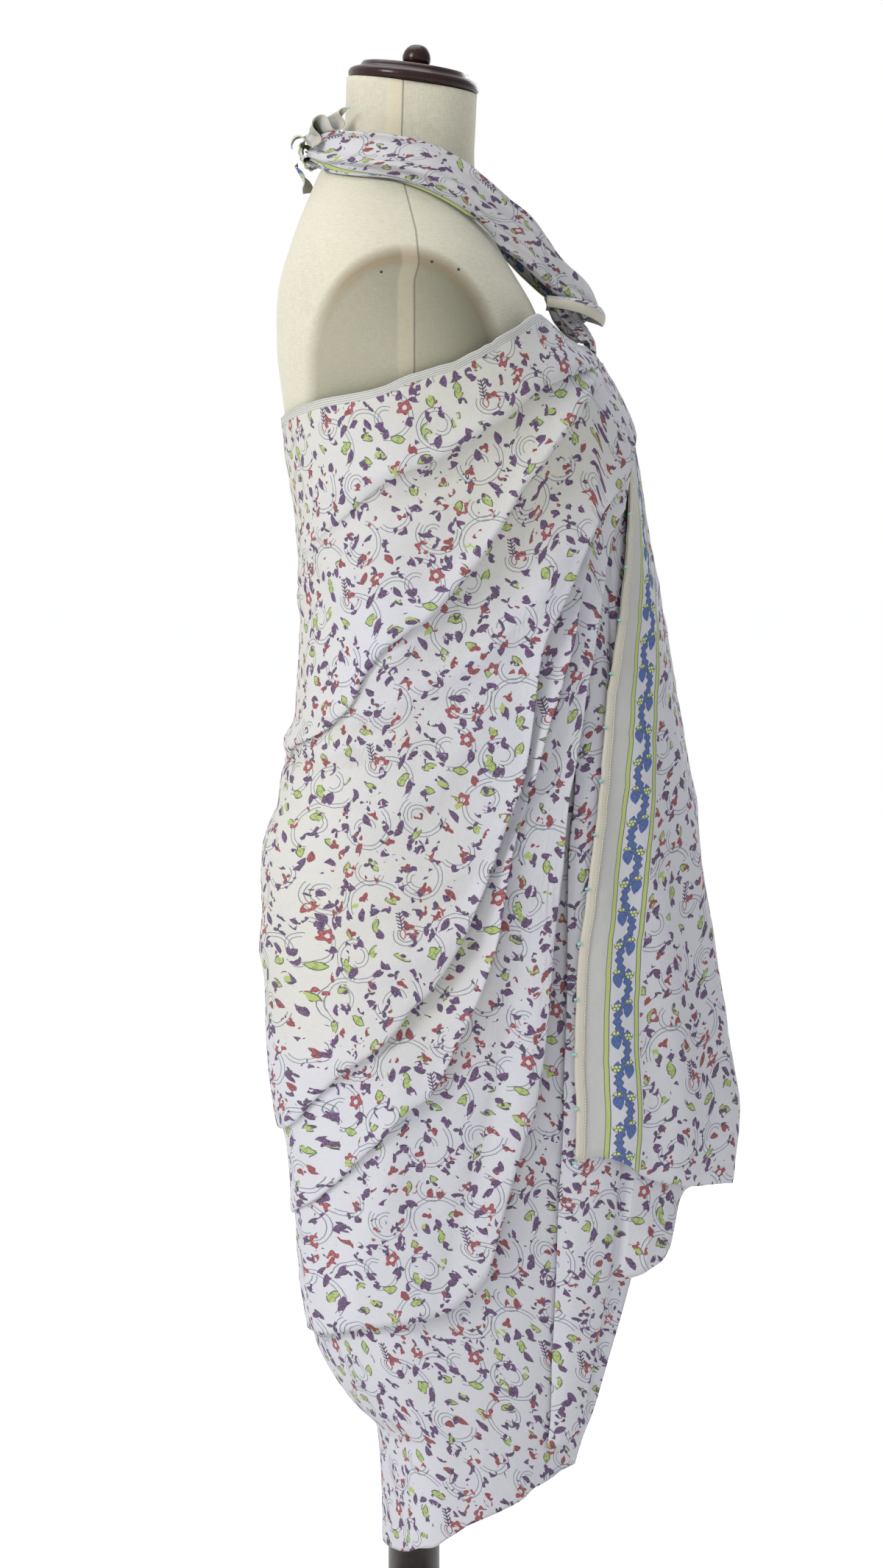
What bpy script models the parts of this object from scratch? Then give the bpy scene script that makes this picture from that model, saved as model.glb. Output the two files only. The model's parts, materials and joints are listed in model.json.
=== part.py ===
"""A sarong of one printed cotton cloth, wound and tied at the nape on a limbless dress form.

Metres, +Z up. The floor is z = 0 under the stand's middle. The form faces -Y, and its right side is -X.
Angles round the body run from the front (0) past the form's right side (90), the back (180) and the
left side (270).
"""

import math

import bmesh
import bpy
import numpy as np
from mathutils import Matrix

# Cloth
WALL = 0.0016  # thickness of the cloth's wall
SECTION_POWER = 2.15  # roundness of the cloth's sections: 2 is an ellipse
FOLD_FOOT = 0.007  # height over which a fold falls from its crest to the layer below
EDGE_LIFT = 0.0045  # how far the right front edge stands over the panel's border near the chest
INNER_SET = 0.0040  # how far the inner turn lies inside the outer one
INNER_FRONT_SET = 0.0119  # the same behind the front cascade
CASCADE_SET = 0.0062  # how far the cascade lies inside the outer turn
HEM_WIDTH = 0.0090  # turned hem of the cloth's short end
HEM_WALL = 0.0009
HEM_FIRST_ROW = 3  # above this row of the panel the hem is gathered into the knot
SEAM_GAP = 0.0004  # air between pieces that lie on each other

# Dress form
FORM_POWER = 2.3
FORM_SIDES = 32
CAP_TILT = math.radians(7.8)  # the neck's cut top falls toward the front
CAP_HEIGHT = 1.5803  # middle of the neck's cut top
POLE_RADIUS = 0.0238
POLE_BOTTOM = 0.0560
TORSO_BOTTOM = 0.690
BASE_RADIUS = 0.200
BASE_HEIGHT = 0.024

# Sections of the outer turn: height, front and back of the section, half width, middle line
CLOTH_SECTIONS = (
    (1.420, -0.098, 0.118, 0.176, 0.000),
    (1.400, -0.110, 0.122, 0.180, 0.000),
    (1.380, -0.121, 0.124, 0.182, 0.000),
    (1.362, -0.138, 0.124, 0.183, 0.000),
    (1.345, -0.152, 0.124, 0.183, 0.000),
    (1.335, -0.161, 0.123, 0.182, 0.000),
    (1.308, -0.181, 0.121, 0.178, 0.000),
    (1.281, -0.1925, 0.119, 0.174, 0.000),
    (1.254, -0.1985, 0.1163, 0.170, 0.000),
    (1.230, -0.2030, 0.112, 0.165, 0.000),
    (1.176, -0.2114, 0.1045, 0.155, 0.000),
    (1.123, -0.2217, 0.1015, 0.146, 0.000),
    (1.070, -0.2306, 0.1035, 0.145, 0.000),
    (1.016, -0.2402, 0.1057, 0.150, 0.000),
    (0.989, -0.2450, 0.1118, 0.155, 0.000),
    (0.962, -0.2500, 0.1200, 0.161, 0.000),
    (0.935, -0.2540, 0.1235, 0.167, 0.000),
    (0.909, -0.2580, 0.1345, 0.173, 0.000),
    (0.880, -0.2625, 0.1383, 0.179, 0.000),
    (0.830, -0.2708, 0.1371, 0.185, 0.000),
    (0.7735, -0.2793, 0.1340, 0.187, 0.000),
    (0.719, -0.2870, 0.1322, 0.185, 0.000),
    (0.665, -0.2950, 0.1249, 0.181, 0.000),
    (0.610, -0.2910, 0.1145, 0.174, 0.000),
    (0.555, -0.2800, 0.1090, 0.166, -0.005),
    (0.500, -0.2620, 0.1045, 0.158, -0.012),
    (0.446, -0.2400, 0.0945, 0.149, -0.022),
    (0.418, -0.2280, 0.0810, 0.143, -0.030),
    (0.390, -0.2150, 0.0612, 0.137, -0.038),
    (0.363, -0.2000, 0.0370, 0.130, -0.045),
    (0.280, -0.1750, 0.0322, 0.115, -0.050),
    (0.200, -0.1600, 0.0320, 0.105, -0.050),
)

# Outer turn, one row for each station round the body: angle, top edge, four fold lines, lower edge
# and how much of their full crest the folds have there
OUTER_STATIONS = (
    (27, 1.347, 1.334, 1.325, 1.262, 1.238, 1.203, 0.5),
    (31, 1.347, 1.332, 1.323, 1.242, 1.222, 1.192, 0.7),
    (35, 1.348, 1.329, 1.320, 1.222, 1.205, 1.172, 0.9),
    (40, 1.352, 1.326, 1.314, 1.200, 1.184, 1.140, 1.0),
    (45, 1.374, 1.322, 1.300, 1.177, 1.156, 1.098, 1.0),
    (50, 1.370, 1.317, 1.282, 1.151, 1.120, 1.048, 1.0),
    (55, 1.362, 1.310, 1.262, 1.125, 1.076, 0.991, 1.0),
    (59, 1.356, 1.302, 1.243, 1.105, 1.046, 0.946, 1.0),
    (62, 1.351, 1.293, 1.230, 1.088, 1.022, 0.884, 1.0),
    (64.5, 1.347, 1.287, 1.222, 1.060, 1.000, 0.842, 1.0),
    (67, 1.345, 1.282, 1.209, 1.010, 0.968, 0.765, 1.0),
    (70, 1.341, 1.277, 1.192, 0.963, 0.933, 0.690, 1.0),
    (73, 1.338, 1.272, 1.176, 0.934, 0.896, 0.645, 1.0),
    (76, 1.334, 1.264, 1.158, 0.899, 0.832, 0.583, 1.0),
    (79, 1.330, 1.258, 1.145, 0.866, 0.789, 0.531, 1.0),
    (83, 1.327, 1.248, 1.127, 0.823, 0.744, 0.510, 1.0),
    (88, 1.322, 1.240, 1.105, 0.783, 0.692, 0.495, 0.95),
    (94, 1.316, 1.233, 1.092, 0.755, 0.674, 0.489, 0.9),
    (101, 1.309, 1.225, 1.082, 0.736, 0.655, 0.486, 0.8),
    (109, 1.305, 1.214, 1.063, 0.722, 0.639, 0.483, 0.7),
    (118, 1.302, 1.201, 1.032, 0.706, 0.621, 0.479, 0.6),
    (129, 1.299, 1.188, 1.015, 0.686, 0.603, 0.473, 0.5),
    (142, 1.294, 1.173, 1.001, 0.663, 0.587, 0.465, 0.45),
    (158, 1.288, 1.154, 0.989, 0.648, 0.573, 0.460, 0.4),
    (176, 1.284, 1.134, 0.972, 0.640, 0.561, 0.454, 0.4),
    (194, 1.285, 1.140, 0.980, 0.648, 0.566, 0.450, 0.4),
    (211, 1.291, 1.160, 0.996, 0.668, 0.583, 0.452, 0.45),
    (227, 1.299, 1.184, 1.020, 0.700, 0.610, 0.460, 0.5),
    (242, 1.306, 1.208, 1.052, 0.742, 0.645, 0.472, 0.55),
    (256, 1.313, 1.228, 1.085, 0.790, 0.690, 0.486, 0.6),
    (268, 1.320, 1.244, 1.112, 0.835, 0.735, 0.502, 0.6),
    (279, 1.327, 1.258, 1.140, 0.880, 0.780, 0.520, 0.6),
    (289, 1.334, 1.270, 1.165, 0.930, 0.822, 0.537, 0.55),
    (298, 1.341, 1.282, 1.188, 0.975, 0.860, 0.552, 0.5),
    (307, 1.349, 1.292, 1.205, 1.010, 0.890, 0.564, 0.4),
    (316, 1.356, 1.298, 1.215, 1.035, 0.905, 0.573, 0.3),
    (325, 1.360, 1.300, 1.220, 1.050, 0.910, 0.580, 0.2),
    (334, 1.354, 1.300, 1.222, 1.055, 0.905, 0.584, 0.1),
    (343, 1.348, 1.298, 1.222, 1.055, 0.900, 0.587, 0.0),
)

# End panel, from the last station to the beaded edge: share of the way, top, four rows and hem
PANEL_STATIONS = (
    (0.12, 1.347, 1.296, 1.220, 1.052, 0.895, 0.588),
    (0.24, 1.346, 1.294, 1.218, 1.050, 0.890, 0.590),
    (0.36, 1.345, 1.292, 1.216, 1.048, 0.888, 0.592),
    (0.48, 1.344, 1.290, 1.214, 1.046, 0.886, 0.597),
    (0.60, 1.342, 1.288, 1.212, 1.044, 0.884, 0.599),
    (0.70, 1.340, 1.286, 1.210, 1.042, 0.882, 0.604),
    (0.79, 1.338, 1.284, 1.208, 1.040, 0.882, 0.612),
    (0.87, 1.336, 1.282, 1.206, 1.040, 0.882, 0.628),
    (0.94, 1.334, 1.280, 1.205, 1.040, 0.884, 0.636),
    (1.00, 1.332, 1.278, 1.204, 1.040, 0.886, 0.632),
)

# Beaded edge of the end panel: height and angle past the front
BEADED_EDGE = (
    (1.400, 9.0),
    (1.332, 11.0),
    (1.289, 14.0),
    (1.250, 17.5),
    (1.217, 21.5),
    (1.170, 28.0),
    (1.127, 34.6),
    (1.037, 44.9),
    (0.953, 51.1),
    (0.874, 56.3),
    (0.796, 60.3),
    (0.716, 62.1),
    (0.634, 62.7),
    (0.560, 62.9),
)

# Right front edge of the outer turn, drawn to the knot: height and angle
RIGHT_EDGE = (
    (1.380, 2.0),
    (1.347, 3.0),
    (1.315, 8.0),
    (1.280, 13.0),
    (1.235, 21.0),
    (1.200, 29.0),
    (1.160, 30.0),
)
RIGHT_EDGE_STATION = 27
RIGHT_EDGE_REACH = 62  # the station from which the edge's slant no longer shows

# Bands between the fold lines: rows of faces, and how far the lower crest stands out
FOLD_BANDS = (
    ("top_to_first", 3, 0.0055),
    ("first_to_second", 4, 0.0095),
    ("second_to_third", 7, 0.0115),
    ("third_to_fourth", 3, 0.0090),
    ("fourth_to_edge", 4, 0.0030),
)

# Upright flutes of the end panel: angle past the front, width in degrees, depth at the hem
PANEL_FLUTES = (
    (-38, 10, 0.0140),
    (-15, 8, 0.0110),
    (18, 8, 0.0110),
    (37, 7, 0.0070),
    (53, 5, 0.0045),
)

# Pleats of the outer turn at the chest knot
GATHER_DEPTH = 0.0014
GATHER_REACH = 26.0
GATHER_COUNT = 30
GATHER_FOOT = 1.285

# Inner turn: angle, top edge, lower edge
INNER_STATIONS = (
    (42.5, 1.160, 0.342),
    (50, 1.150, 0.339),
    (55, 1.120, 0.334),
    (60, 1.060, 0.329),
    (64, 0.990, 0.326),
    (68, 0.880, 0.318),
    (73, 0.760, 0.312),
    (79, 0.655, 0.306),
    (86, 0.600, 0.299),
    (94, 0.575, 0.290),
    (103, 0.560, 0.281),
    (112, 0.550, 0.272),
    (122, 0.545, 0.269),
    (133, 0.540, 0.262),
    (145, 0.535, 0.258),
    (160, 0.532, 0.257),
    (178, 0.530, 0.262),
    (196, 0.530, 0.268),
    (212, 0.532, 0.276),
    (227, 0.536, 0.285),
    (242, 0.542, 0.296),
    (256, 0.552, 0.309),
    (270, 0.566, 0.324),
    (283, 0.590, 0.352),
    (296, 0.615, 0.400),
    (309, 0.640, 0.470),
    (321, 0.655, 0.520),
    (331, 0.670, 0.560),
)
INNER_ROWS = 13

# Front cascade: angle at the hem, top edge, lower edge, outward set of its two rolls
CASCADE_STATIONS = (
    (-24, 1.140, 0.600, -0.0040),
    (-12, 1.180, 0.602, -0.0010),
    (0, 1.220, 0.601, -0.0030),
    (12, 1.255, 0.600, -0.0005),
    (22, 1.280, 0.598, -0.0030),
    (29, 1.290, 0.595, -0.0010),
    (32, 1.292, 0.584, 0.0010),
    (34, 1.293, 0.562, 0.0020),
    (36.5, 1.293, 0.536, 0.0025),
    (40, 1.292, 0.528, 0.0020),
    (43.5, 1.290, 0.522, 0.0025),
    (46.5, 1.288, 0.519, 0.0030),
    (47.6, 1.286, 0.516, -0.0035),
    (48.3, 1.284, 0.470, -0.0030),
    (49.6, 1.280, 0.405, 0.0005),
    (51.8, 1.276, 0.376, 0.0030),
    (55, 1.270, 0.368, 0.0040),
    (58, 1.262, 0.365, 0.0035),
    (60.5, 1.256, 0.363, 0.0010),
    (61.8, 1.250, 0.361, -0.0012),
)
CASCADE_ROWS = 17
CASCADE_BILLOW = 0.0080  # how far its front roll swells below the end panel's hem
CASCADE_LEFT_EDGE = (
    (1.290, 36.0),
    (1.210, 43.0),
    (1.133, 48.0),
    (1.065, 51.5),
    (1.025, 53.0),
    (0.954, 56.0),
    (0.896, 59.0),
    (0.750, 62.5),
    (0.674, 64.2),
    (0.588, 64.6),
    (0.475, 63.3),
    (0.361, 61.2),
)

# Rings of the covered form: height, middle, half depth, half width, slope of the ring toward the back
FORM_RINGS = (
    (1.5800, 0.0012, 0.0585, 0.0550, 0.137),
    (1.5400, 0.0030, 0.0582, 0.0550, 0.200),
    (1.5080, 0.0080, 0.0640, 0.0620, 0.220),
    (1.4820, 0.0130, 0.0740, 0.0900, 0.200),
    (1.4550, 0.0130, 0.0860, 0.1300, 0.150),
    (1.4250, 0.0110, 0.1000, 0.1610, 0.100),
    (1.3900, 0.0072, 0.1142, 0.1740, 0.050),
    (1.3500, 0.0000, 0.1226, 0.1760, 0.000),
    (1.3000, -0.0190, 0.1365, 0.1690, 0.000),
    (1.2500, -0.0340, 0.1450, 0.1600, 0.000),
    (1.2000, -0.0370, 0.1400, 0.1490, 0.000),
    (1.1500, -0.0300, 0.1270, 0.1370, 0.000),
    (1.1000, -0.0200, 0.1150, 0.1280, 0.000),
    (1.0500, -0.0130, 0.1110, 0.1270, 0.000),
    (1.0000, -0.0100, 0.1130, 0.1360, 0.000),
    (0.9500, -0.0070, 0.1200, 0.1490, 0.000),
    (0.9000, -0.0020, 0.1270, 0.1620, 0.000),
    (0.8500, 0.0010, 0.1300, 0.1710, 0.000),
    (0.8000, 0.0010, 0.1270, 0.1740, 0.000),
    (0.7400, 0.0010, 0.1220, 0.1720, 0.000),
    (0.6900, 0.0010, 0.1140, 0.1650, 0.000),
)

# Paths of the tied ends: x, y, z, half width and half height of the gathered cloth
NEAR_STRAP = (
    (-0.0110, 0.0900, 1.5220, 0.0075, 0.0030),
    (-0.0240, 0.0850, 1.5215, 0.0100, 0.0060),
    (-0.0430, 0.0680, 1.5190, 0.0170, 0.0085),
    (-0.0640, 0.0420, 1.5150, 0.0190, 0.0090),
    (-0.0740, 0.0140, 1.5110, 0.0190, 0.0095),
    (-0.0760, -0.0090, 1.5040, 0.0195, 0.0100),
    (-0.0720, -0.0320, 1.4920, 0.0200, 0.0105),
    (-0.0640, -0.0545, 1.4760, 0.0205, 0.0110),
    (-0.0540, -0.0755, 1.4580, 0.0215, 0.0110),
    (-0.0440, -0.0955, 1.4435, 0.0225, 0.0110),
    (-0.0340, -0.1135, 1.4250, 0.0215, 0.0105),
    (-0.0240, -0.1290, 1.4080, 0.0195, 0.0105),
    (-0.0180, -0.1460, 1.3925, 0.0165, 0.0080),
    (-0.0158, -0.1560, 1.3750, 0.0145, 0.0050),
)
FAR_STRAP = (
    (0.0110, 0.0900, 1.5225, 0.0075, 0.0030),
    (0.0240, 0.0855, 1.5220, 0.0095, 0.0055),
    (0.0430, 0.0680, 1.5220, 0.0165, 0.0085),
    (0.0640, 0.0420, 1.5190, 0.0180, 0.0090),
    (0.0740, 0.0140, 1.5140, 0.0185, 0.0095),
    (0.0760, -0.0090, 1.5060, 0.0190, 0.0100),
    (0.0720, -0.0320, 1.4940, 0.0195, 0.0105),
    (0.0640, -0.0545, 1.4780, 0.0200, 0.0110),
    (0.0540, -0.0755, 1.4600, 0.0205, 0.0110),
    (0.0450, -0.0920, 1.4430, 0.0200, 0.0100),
    (0.0370, -0.1050, 1.4250, 0.0180, 0.0090),
    (0.0300, -0.1200, 1.4080, 0.0155, 0.0085),
    (0.0220, -0.1400, 1.3940, 0.0145, 0.0080),
    (0.0162, -0.1558, 1.3750, 0.0140, 0.0050),
)
STRAP_FOLDS = 3.5
STRAP_FOLD_DEPTH = 0.0022
STRAP_POINTS = 17

# Gathered middle of the chest knot, top to bottom: y, z, half width, half depth
TWIST_RINGS = (
    (-0.1290, 1.3920, 0.0240, 0.0095),
    (-0.1325, 1.3840, 0.0235, 0.0100),
    (-0.1365, 1.3760, 0.0235, 0.0110),
    (-0.1425, 1.3685, 0.0260, 0.0130),
    (-0.1490, 1.3605, 0.0330, 0.0130),
    (-0.1530, 1.3525, 0.0440, 0.0108),
)
TWIST_POINTS = 54
TWIST_LOBES = 9
TWIST_LOBE_DEPTH = 0.0022
TWIST_DROP = 0.0120  # how far its front lip hangs over the panels' top edge

# Band of the far end, laid round the chest knot: x, y, z of its middle line and half width
CHEST_LOOP = (
    (-0.0430, -0.1190, 1.3870, 0.0055),
    (-0.0415, -0.1370, 1.3850, 0.0065),
    (-0.0350, -0.1530, 1.3815, 0.0080),
    (-0.0190, -0.1665, 1.3760, 0.0090),
    (0.0000, -0.1700, 1.3735, 0.0095),
    (0.0180, -0.1665, 1.3755, 0.0090),
    (0.0340, -0.1540, 1.3795, 0.0080),
    (0.0408, -0.1390, 1.3840, 0.0065),
    (0.0443, -0.1210, 1.3870, 0.0055),
)

# Nape knot: x, half height and half depth of its sleeve
KNOT_RINGS = (
    (-0.0165, 0.0136, 0.0083),
    (-0.0115, 0.0145, 0.0102),
    (0.0000, 0.0150, 0.0108),
    (0.0115, 0.0145, 0.0102),
    (0.0165, 0.0136, 0.0083),
)
KNOT_BACK = 0.0908
KNOT_HEIGHT = 1.5220

# The right end past the nape knot, a ruffled fan: its root, and x, y, z along its hemmed edge
TAIL_ROOT = ((-0.0178, 0.0985, 1.5330), (-0.0178, 0.0885, 1.5375))
TAIL_EDGE = (
    (-0.0430, 0.1060, 1.5215),
    (-0.0470, 0.0930, 1.5310),
    (-0.0490, 0.0800, 1.5390),
    (-0.0500, 0.0680, 1.5465),
    (-0.0490, 0.0560, 1.5540),
)
TAIL_WAVES = 2.5
TAIL_WAVE_DEPTH = 0.0085
TAIL_COLUMNS = 21
TAIL_ROWS = 5

# The left end past the nape knot: x, y, z of its middle line and half width
LOWER_TAIL = (
    (0.0080, 0.1045, 1.5110, 0.0050),
    (0.0110, 0.0995, 1.5020, 0.0085),
    (0.0128, 0.0955, 1.4940, 0.0095),
    (0.0135, 0.0945, 1.4860, 0.0070),
)
TAIL_RUFFLE = 0.0035


def clear_scene():
    for item in list(bpy.data.objects):
        bpy.data.objects.remove(item, do_unlink=True)


def new_collection(name):
    made = bpy.data.collections.new(name)
    bpy.context.scene.collection.children.link(made)
    return made


def material(name, colour, roughness, metallic=0.0, coat=0.0):
    made = bpy.data.materials.new(name)
    made.use_nodes = True
    shader = made.node_tree.nodes["Principled BSDF"]
    shader.inputs["Base Color"].default_value = (*colour, 1.0)
    shader.inputs["Roughness"].default_value = roughness
    shader.inputs["Metallic"].default_value = metallic
    shader.inputs["Coat Weight"].default_value = coat
    made.diffuse_color = (*colour, 1.0)
    return made


def smooth(known, values, at):
    """Monotone cubic through a table: no value overshoots its neighbours."""
    known = np.asarray(known, float)
    values = np.asarray(values, float)
    if known[0] > known[-1]:
        known = known[::-1]
        values = values[::-1]
    step = np.diff(known)
    slope = np.diff(values) / step
    tangent = np.zeros_like(values)
    tangent[0] = slope[0]
    tangent[-1] = slope[-1]
    product = slope[:-1] * slope[1:]
    total = slope[:-1] + slope[1:]
    safe = np.where(total == 0, 1.0, total)
    tangent[1:-1] = np.where(product > 0, 2 * product / safe, 0.0)
    at = np.clip(at, known[0], known[-1])
    k = np.clip(np.searchsorted(known, at) - 1, 0, len(step) - 1)
    h = step[k]
    t = (at - known[k]) / h
    start = (2 * t**3 - 3 * t**2 + 1) * values[k] + (t**3 - 2 * t**2 + t) * h * tangent[k]
    end = (3 * t**2 - 2 * t**3) * values[k + 1] + (t**3 - t**2) * h * tangent[k + 1]
    return start + end


def column(table, index):
    return [row[index] for row in table]


def cloth_point(angle, height, outward):
    """A point of the cloth's section at this angle in degrees and height, moved outward."""
    heights = column(CLOTH_SECTIONS, 0)
    front, back, half_width, middle = (
        smooth(heights, column(CLOTH_SECTIONS, i), height) for i in (1, 2, 3, 4)
    )
    turn = np.radians(angle)
    sine = np.sin(turn)
    cosine = np.cos(turn)
    depth = np.where(cosine > 0, middle - front, back - middle) + outward
    across = half_width + outward
    power = 2.0 / SECTION_POWER
    x = -across * np.sign(sine) * np.abs(sine) ** power
    y = middle - depth * np.sign(cosine) * np.abs(cosine) ** power
    return np.stack([x, y, height + 0 * x], axis=-1)


def form_ring_at(height, y):
    """Middle, half depth and half width of the form where a sloping ring passes this height and y."""
    ring = height
    heights = column(FORM_RINGS, 0)
    for _ in range(6):
        middle = smooth(heights, column(FORM_RINGS, 1), ring)
        slope = smooth(heights, column(FORM_RINGS, 4), ring)
        ring = height - slope * (y - middle)
    depth = smooth(heights, column(FORM_RINGS, 2), ring)
    width = smooth(heights, column(FORM_RINGS, 3), ring)
    return middle, depth, width


def clear_of_form(points, gap):
    """Points closer to the form than the gap, moved out level until they clear it."""
    x = points[..., 0]
    y = points[..., 1]
    middle, depth, width = form_ring_at(points[..., 2], y)
    across = np.abs(x / (width + gap)) ** FORM_POWER
    along = np.abs((y - middle) / (depth + gap)) ** FORM_POWER
    size = (across + along) ** (1 / FORM_POWER)
    beside = points[..., 2] > TORSO_BOTTOM - 0.02
    push = np.where((size < 1.0) & beside, 1.0 / np.maximum(size, 0.05), 1.0)
    moved = points.copy()
    moved[..., 0] = x * push
    moved[..., 1] = middle + (y - middle) * push
    return moved


def grid_object(name, points, skin, wall, collection):
    """An open sheet through a grid of points, columns first, thickened inward into a closed wall."""
    columns, rows = points.shape[:2]
    mesh = bmesh.new()
    corners = [[mesh.verts.new(points[i, j]) for j in range(rows)] for i in range(columns)]
    for i in range(columns - 1):
        for j in range(rows - 1):
            mesh.faces.new(
                (corners[i][j], corners[i + 1][j], corners[i + 1][j + 1], corners[i][j + 1])
            )
    data = bpy.data.meshes.new(name)
    mesh.to_mesh(data)
    mesh.free()
    made = bpy.data.objects.new(name, data)
    collection.objects.link(made)
    data.materials.append(skin)
    thick = made.modifiers.new("Wall", "SOLIDIFY")
    thick.thickness = wall
    thick.offset = -1.0
    thick.use_even_offset = False
    data.shade_smooth()
    return made


def ring_object(name, rings, skin, collection):
    """A closed solid lofted through rings of equal length, with flat ends."""
    mesh = bmesh.new()
    rows = [[mesh.verts.new(point) for point in ring] for ring in rings]
    count = len(rows[0])
    for upper, lower in zip(rows[:-1], rows[1:]):
        for k in range(count):
            mesh.faces.new((upper[k], upper[(k + 1) % count], lower[(k + 1) % count], lower[k]))
    mesh.faces.new(rows[0][::-1])
    mesh.faces.new(rows[-1])
    bmesh.ops.recalc_face_normals(mesh, faces=mesh.faces)
    data = bpy.data.meshes.new(name)
    mesh.to_mesh(data)
    mesh.free()
    made = bpy.data.objects.new(name, data)
    collection.objects.link(made)
    data.materials.append(skin)
    data.shade_smooth()
    return made


def turned_object(name, profile, sides, skin, collection, place=None):
    """A solid turned about the vertical axis from (radius, height) points, top to bottom."""
    mesh = bmesh.new()
    line = [mesh.verts.new((radius, 0.0, height)) for radius, height in profile]
    for first, second in zip(line[:-1], line[1:]):
        mesh.edges.new((first, second))
    data = bpy.data.meshes.new(name)
    mesh.to_mesh(data)
    mesh.free()
    made = bpy.data.objects.new(name, data)
    collection.objects.link(made)
    data.materials.append(skin)
    turn = made.modifiers.new("Turn", "SCREW")
    turn.angle = 2 * math.pi
    turn.steps = sides
    turn.render_steps = sides
    turn.use_merge_vertices = True
    turn.merge_threshold = 0.0001
    if place is not None:
        made.matrix_world = place
    return made


# The covered torso, one smooth and closed body from the hips to the neck's cut top.
def build_torso(skin, collection):
    heights = column(FORM_RINGS, 0)
    upper = np.linspace(FORM_RINGS[0][0], 1.36, 12)
    levels = np.concatenate([upper, np.linspace(1.33, TORSO_BOTTOM, 17)])
    turn = np.linspace(0, 2 * np.pi, FORM_SIDES, endpoint=False)
    power = 2.0 / FORM_POWER
    rings = []
    for level in levels:
        middle, depth, width, slope = (
            smooth(heights, column(FORM_RINGS, i), level) for i in (1, 2, 3, 4)
        )
        x = width * np.sign(np.sin(turn)) * np.abs(np.sin(turn)) ** power
        y = middle + depth * np.sign(np.cos(turn)) * np.abs(np.cos(turn)) ** power
        z = level + slope * (y - middle)
        rings.append(np.stack([x, y, z], axis=-1))
    return ring_object("form_torso", rings, skin, collection)


# The turned wooden cap on the neck, and its knob.
def build_cap(skin, collection):
    tilt = Matrix.Translation((0, 0, CAP_HEIGHT + SEAM_GAP)) @ Matrix.Rotation(CAP_TILT, 4, "X")
    cap = (
        (0.0000, 0.0170),
        (0.0400, 0.0168),
        (0.0470, 0.0160),
        (0.0490, 0.0140),
        (0.0492, 0.0115),
        (0.0530, 0.0105),
        (0.0575, 0.0085),
        (0.0592, 0.0060),
        (0.0595, 0.0040),
        (0.0588, 0.0015),
        (0.0575, 0.0000),
        (0.0000, 0.0000),
    )
    turned_object("form_neck_cap", cap, 32, skin, collection, tilt)
    knob = (
        (0.0000, 0.0370),
        (0.0050, 0.0360),
        (0.0093, 0.0332),
        (0.0120, 0.0290),
        (0.0130, 0.0242),
        (0.0121, 0.0205),
        (0.0098, 0.0182),
        (0.0085, 0.0174),
        (0.0000, 0.0174),
    )
    turned_object("form_cap_knob", knob, 20, skin, collection, tilt)


# The pole, the collar it stands in and the round base on the floor.
def build_stand(skin, collection):
    top = TORSO_BOTTOM - SEAM_GAP
    pole = (
        (0.0, top),
        (POLE_RADIUS, top),
        (POLE_RADIUS, POLE_BOTTOM),
        (0.0, POLE_BOTTOM),
    )
    turned_object("form_pole", pole, 24, skin, collection)
    collar_top = POLE_BOTTOM - SEAM_GAP
    collar_bottom = BASE_HEIGHT + SEAM_GAP
    collar = (
        (0.0, collar_top),
        (0.0300, collar_top),
        (0.0335, collar_top - 0.004),
        (0.0345, collar_bottom + 0.006),
        (0.0400, collar_bottom),
        (0.0, collar_bottom),
    )
    turned_object("form_base_collar", collar, 24, skin, collection)
    base = (
        (0.0, BASE_HEIGHT),
        (BASE_RADIUS - 0.060, BASE_HEIGHT - 0.0005),
        (BASE_RADIUS - 0.020, BASE_HEIGHT - 0.005),
        (BASE_RADIUS - 0.004, BASE_HEIGHT - 0.011),
        (BASE_RADIUS, BASE_HEIGHT - 0.016),
        (BASE_RADIUS, 0.002),
        (BASE_RADIUS - 0.002, 0.0),
        (0.0, 0.0),
    )
    turned_object("form_base", base, 40, skin, collection)


def fold_rows():
    """Rows down a column: the band each lies in, its share of the band, and its crest."""
    rows = []
    for band, (_, count, crest) in enumerate(FOLD_BANDS):
        for step in range(count):
            rows.append((band, step / count, crest))
        rows.append((band, 1.0, crest))
    return rows


def slanted(station, height):
    """A station's angle at each height: those near the right front edge lean toward the knot."""
    edge = smooth(column(RIGHT_EDGE, 0), column(RIGHT_EDGE, 1), height)
    share = max(0.0, (RIGHT_EDGE_REACH - station) / (RIGHT_EDGE_REACH - RIGHT_EDGE_STATION))
    return station + share * (edge - RIGHT_EDGE_STATION)


def outer_columns():
    """Angle as a function of height, heights of the fold lines and fold depth, for each station."""
    found = []
    for angle, *lines, depth in OUTER_STATIONS:
        found.append((lambda height, a=angle: slanted(a, height), lines, depth))
    last = OUTER_STATIONS[-1][0]
    edge_heights = column(BEADED_EDGE, 0)
    edge_angles = column(BEADED_EDGE, 1)
    for share, *lines in PANEL_STATIONS:

        def angle_at(height, s=share):
            edge = 360 + smooth(edge_heights, edge_angles, height)
            return last + s * (edge - last)

        found.append((angle_at, lines, 0.0))
    return found


def panel_flutes(angle, height):
    """Outward set of the end panel's upright flutes, growing toward the hem."""
    past = angle - 360
    growth = np.clip((1.28 - height) / 0.62, 0, 1) ** 1.2
    total = 0 * height
    for middle, width, depth in PANEL_FLUTES:
        total = total + depth * growth * np.exp(-(((past - middle) / width) ** 2))
    return total


def knot_gathers(angle, height):
    """Outward set of the small pleats that run up to the chest knot."""
    past = (angle + 180) % 360 - 180
    near = np.exp(-((past / GATHER_REACH) ** 2)) * np.clip((height - GATHER_FOOT) / 0.05, 0, 1)
    return GATHER_DEPTH * near * (1 + np.cos(np.radians(past * GATHER_COUNT)))


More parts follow.
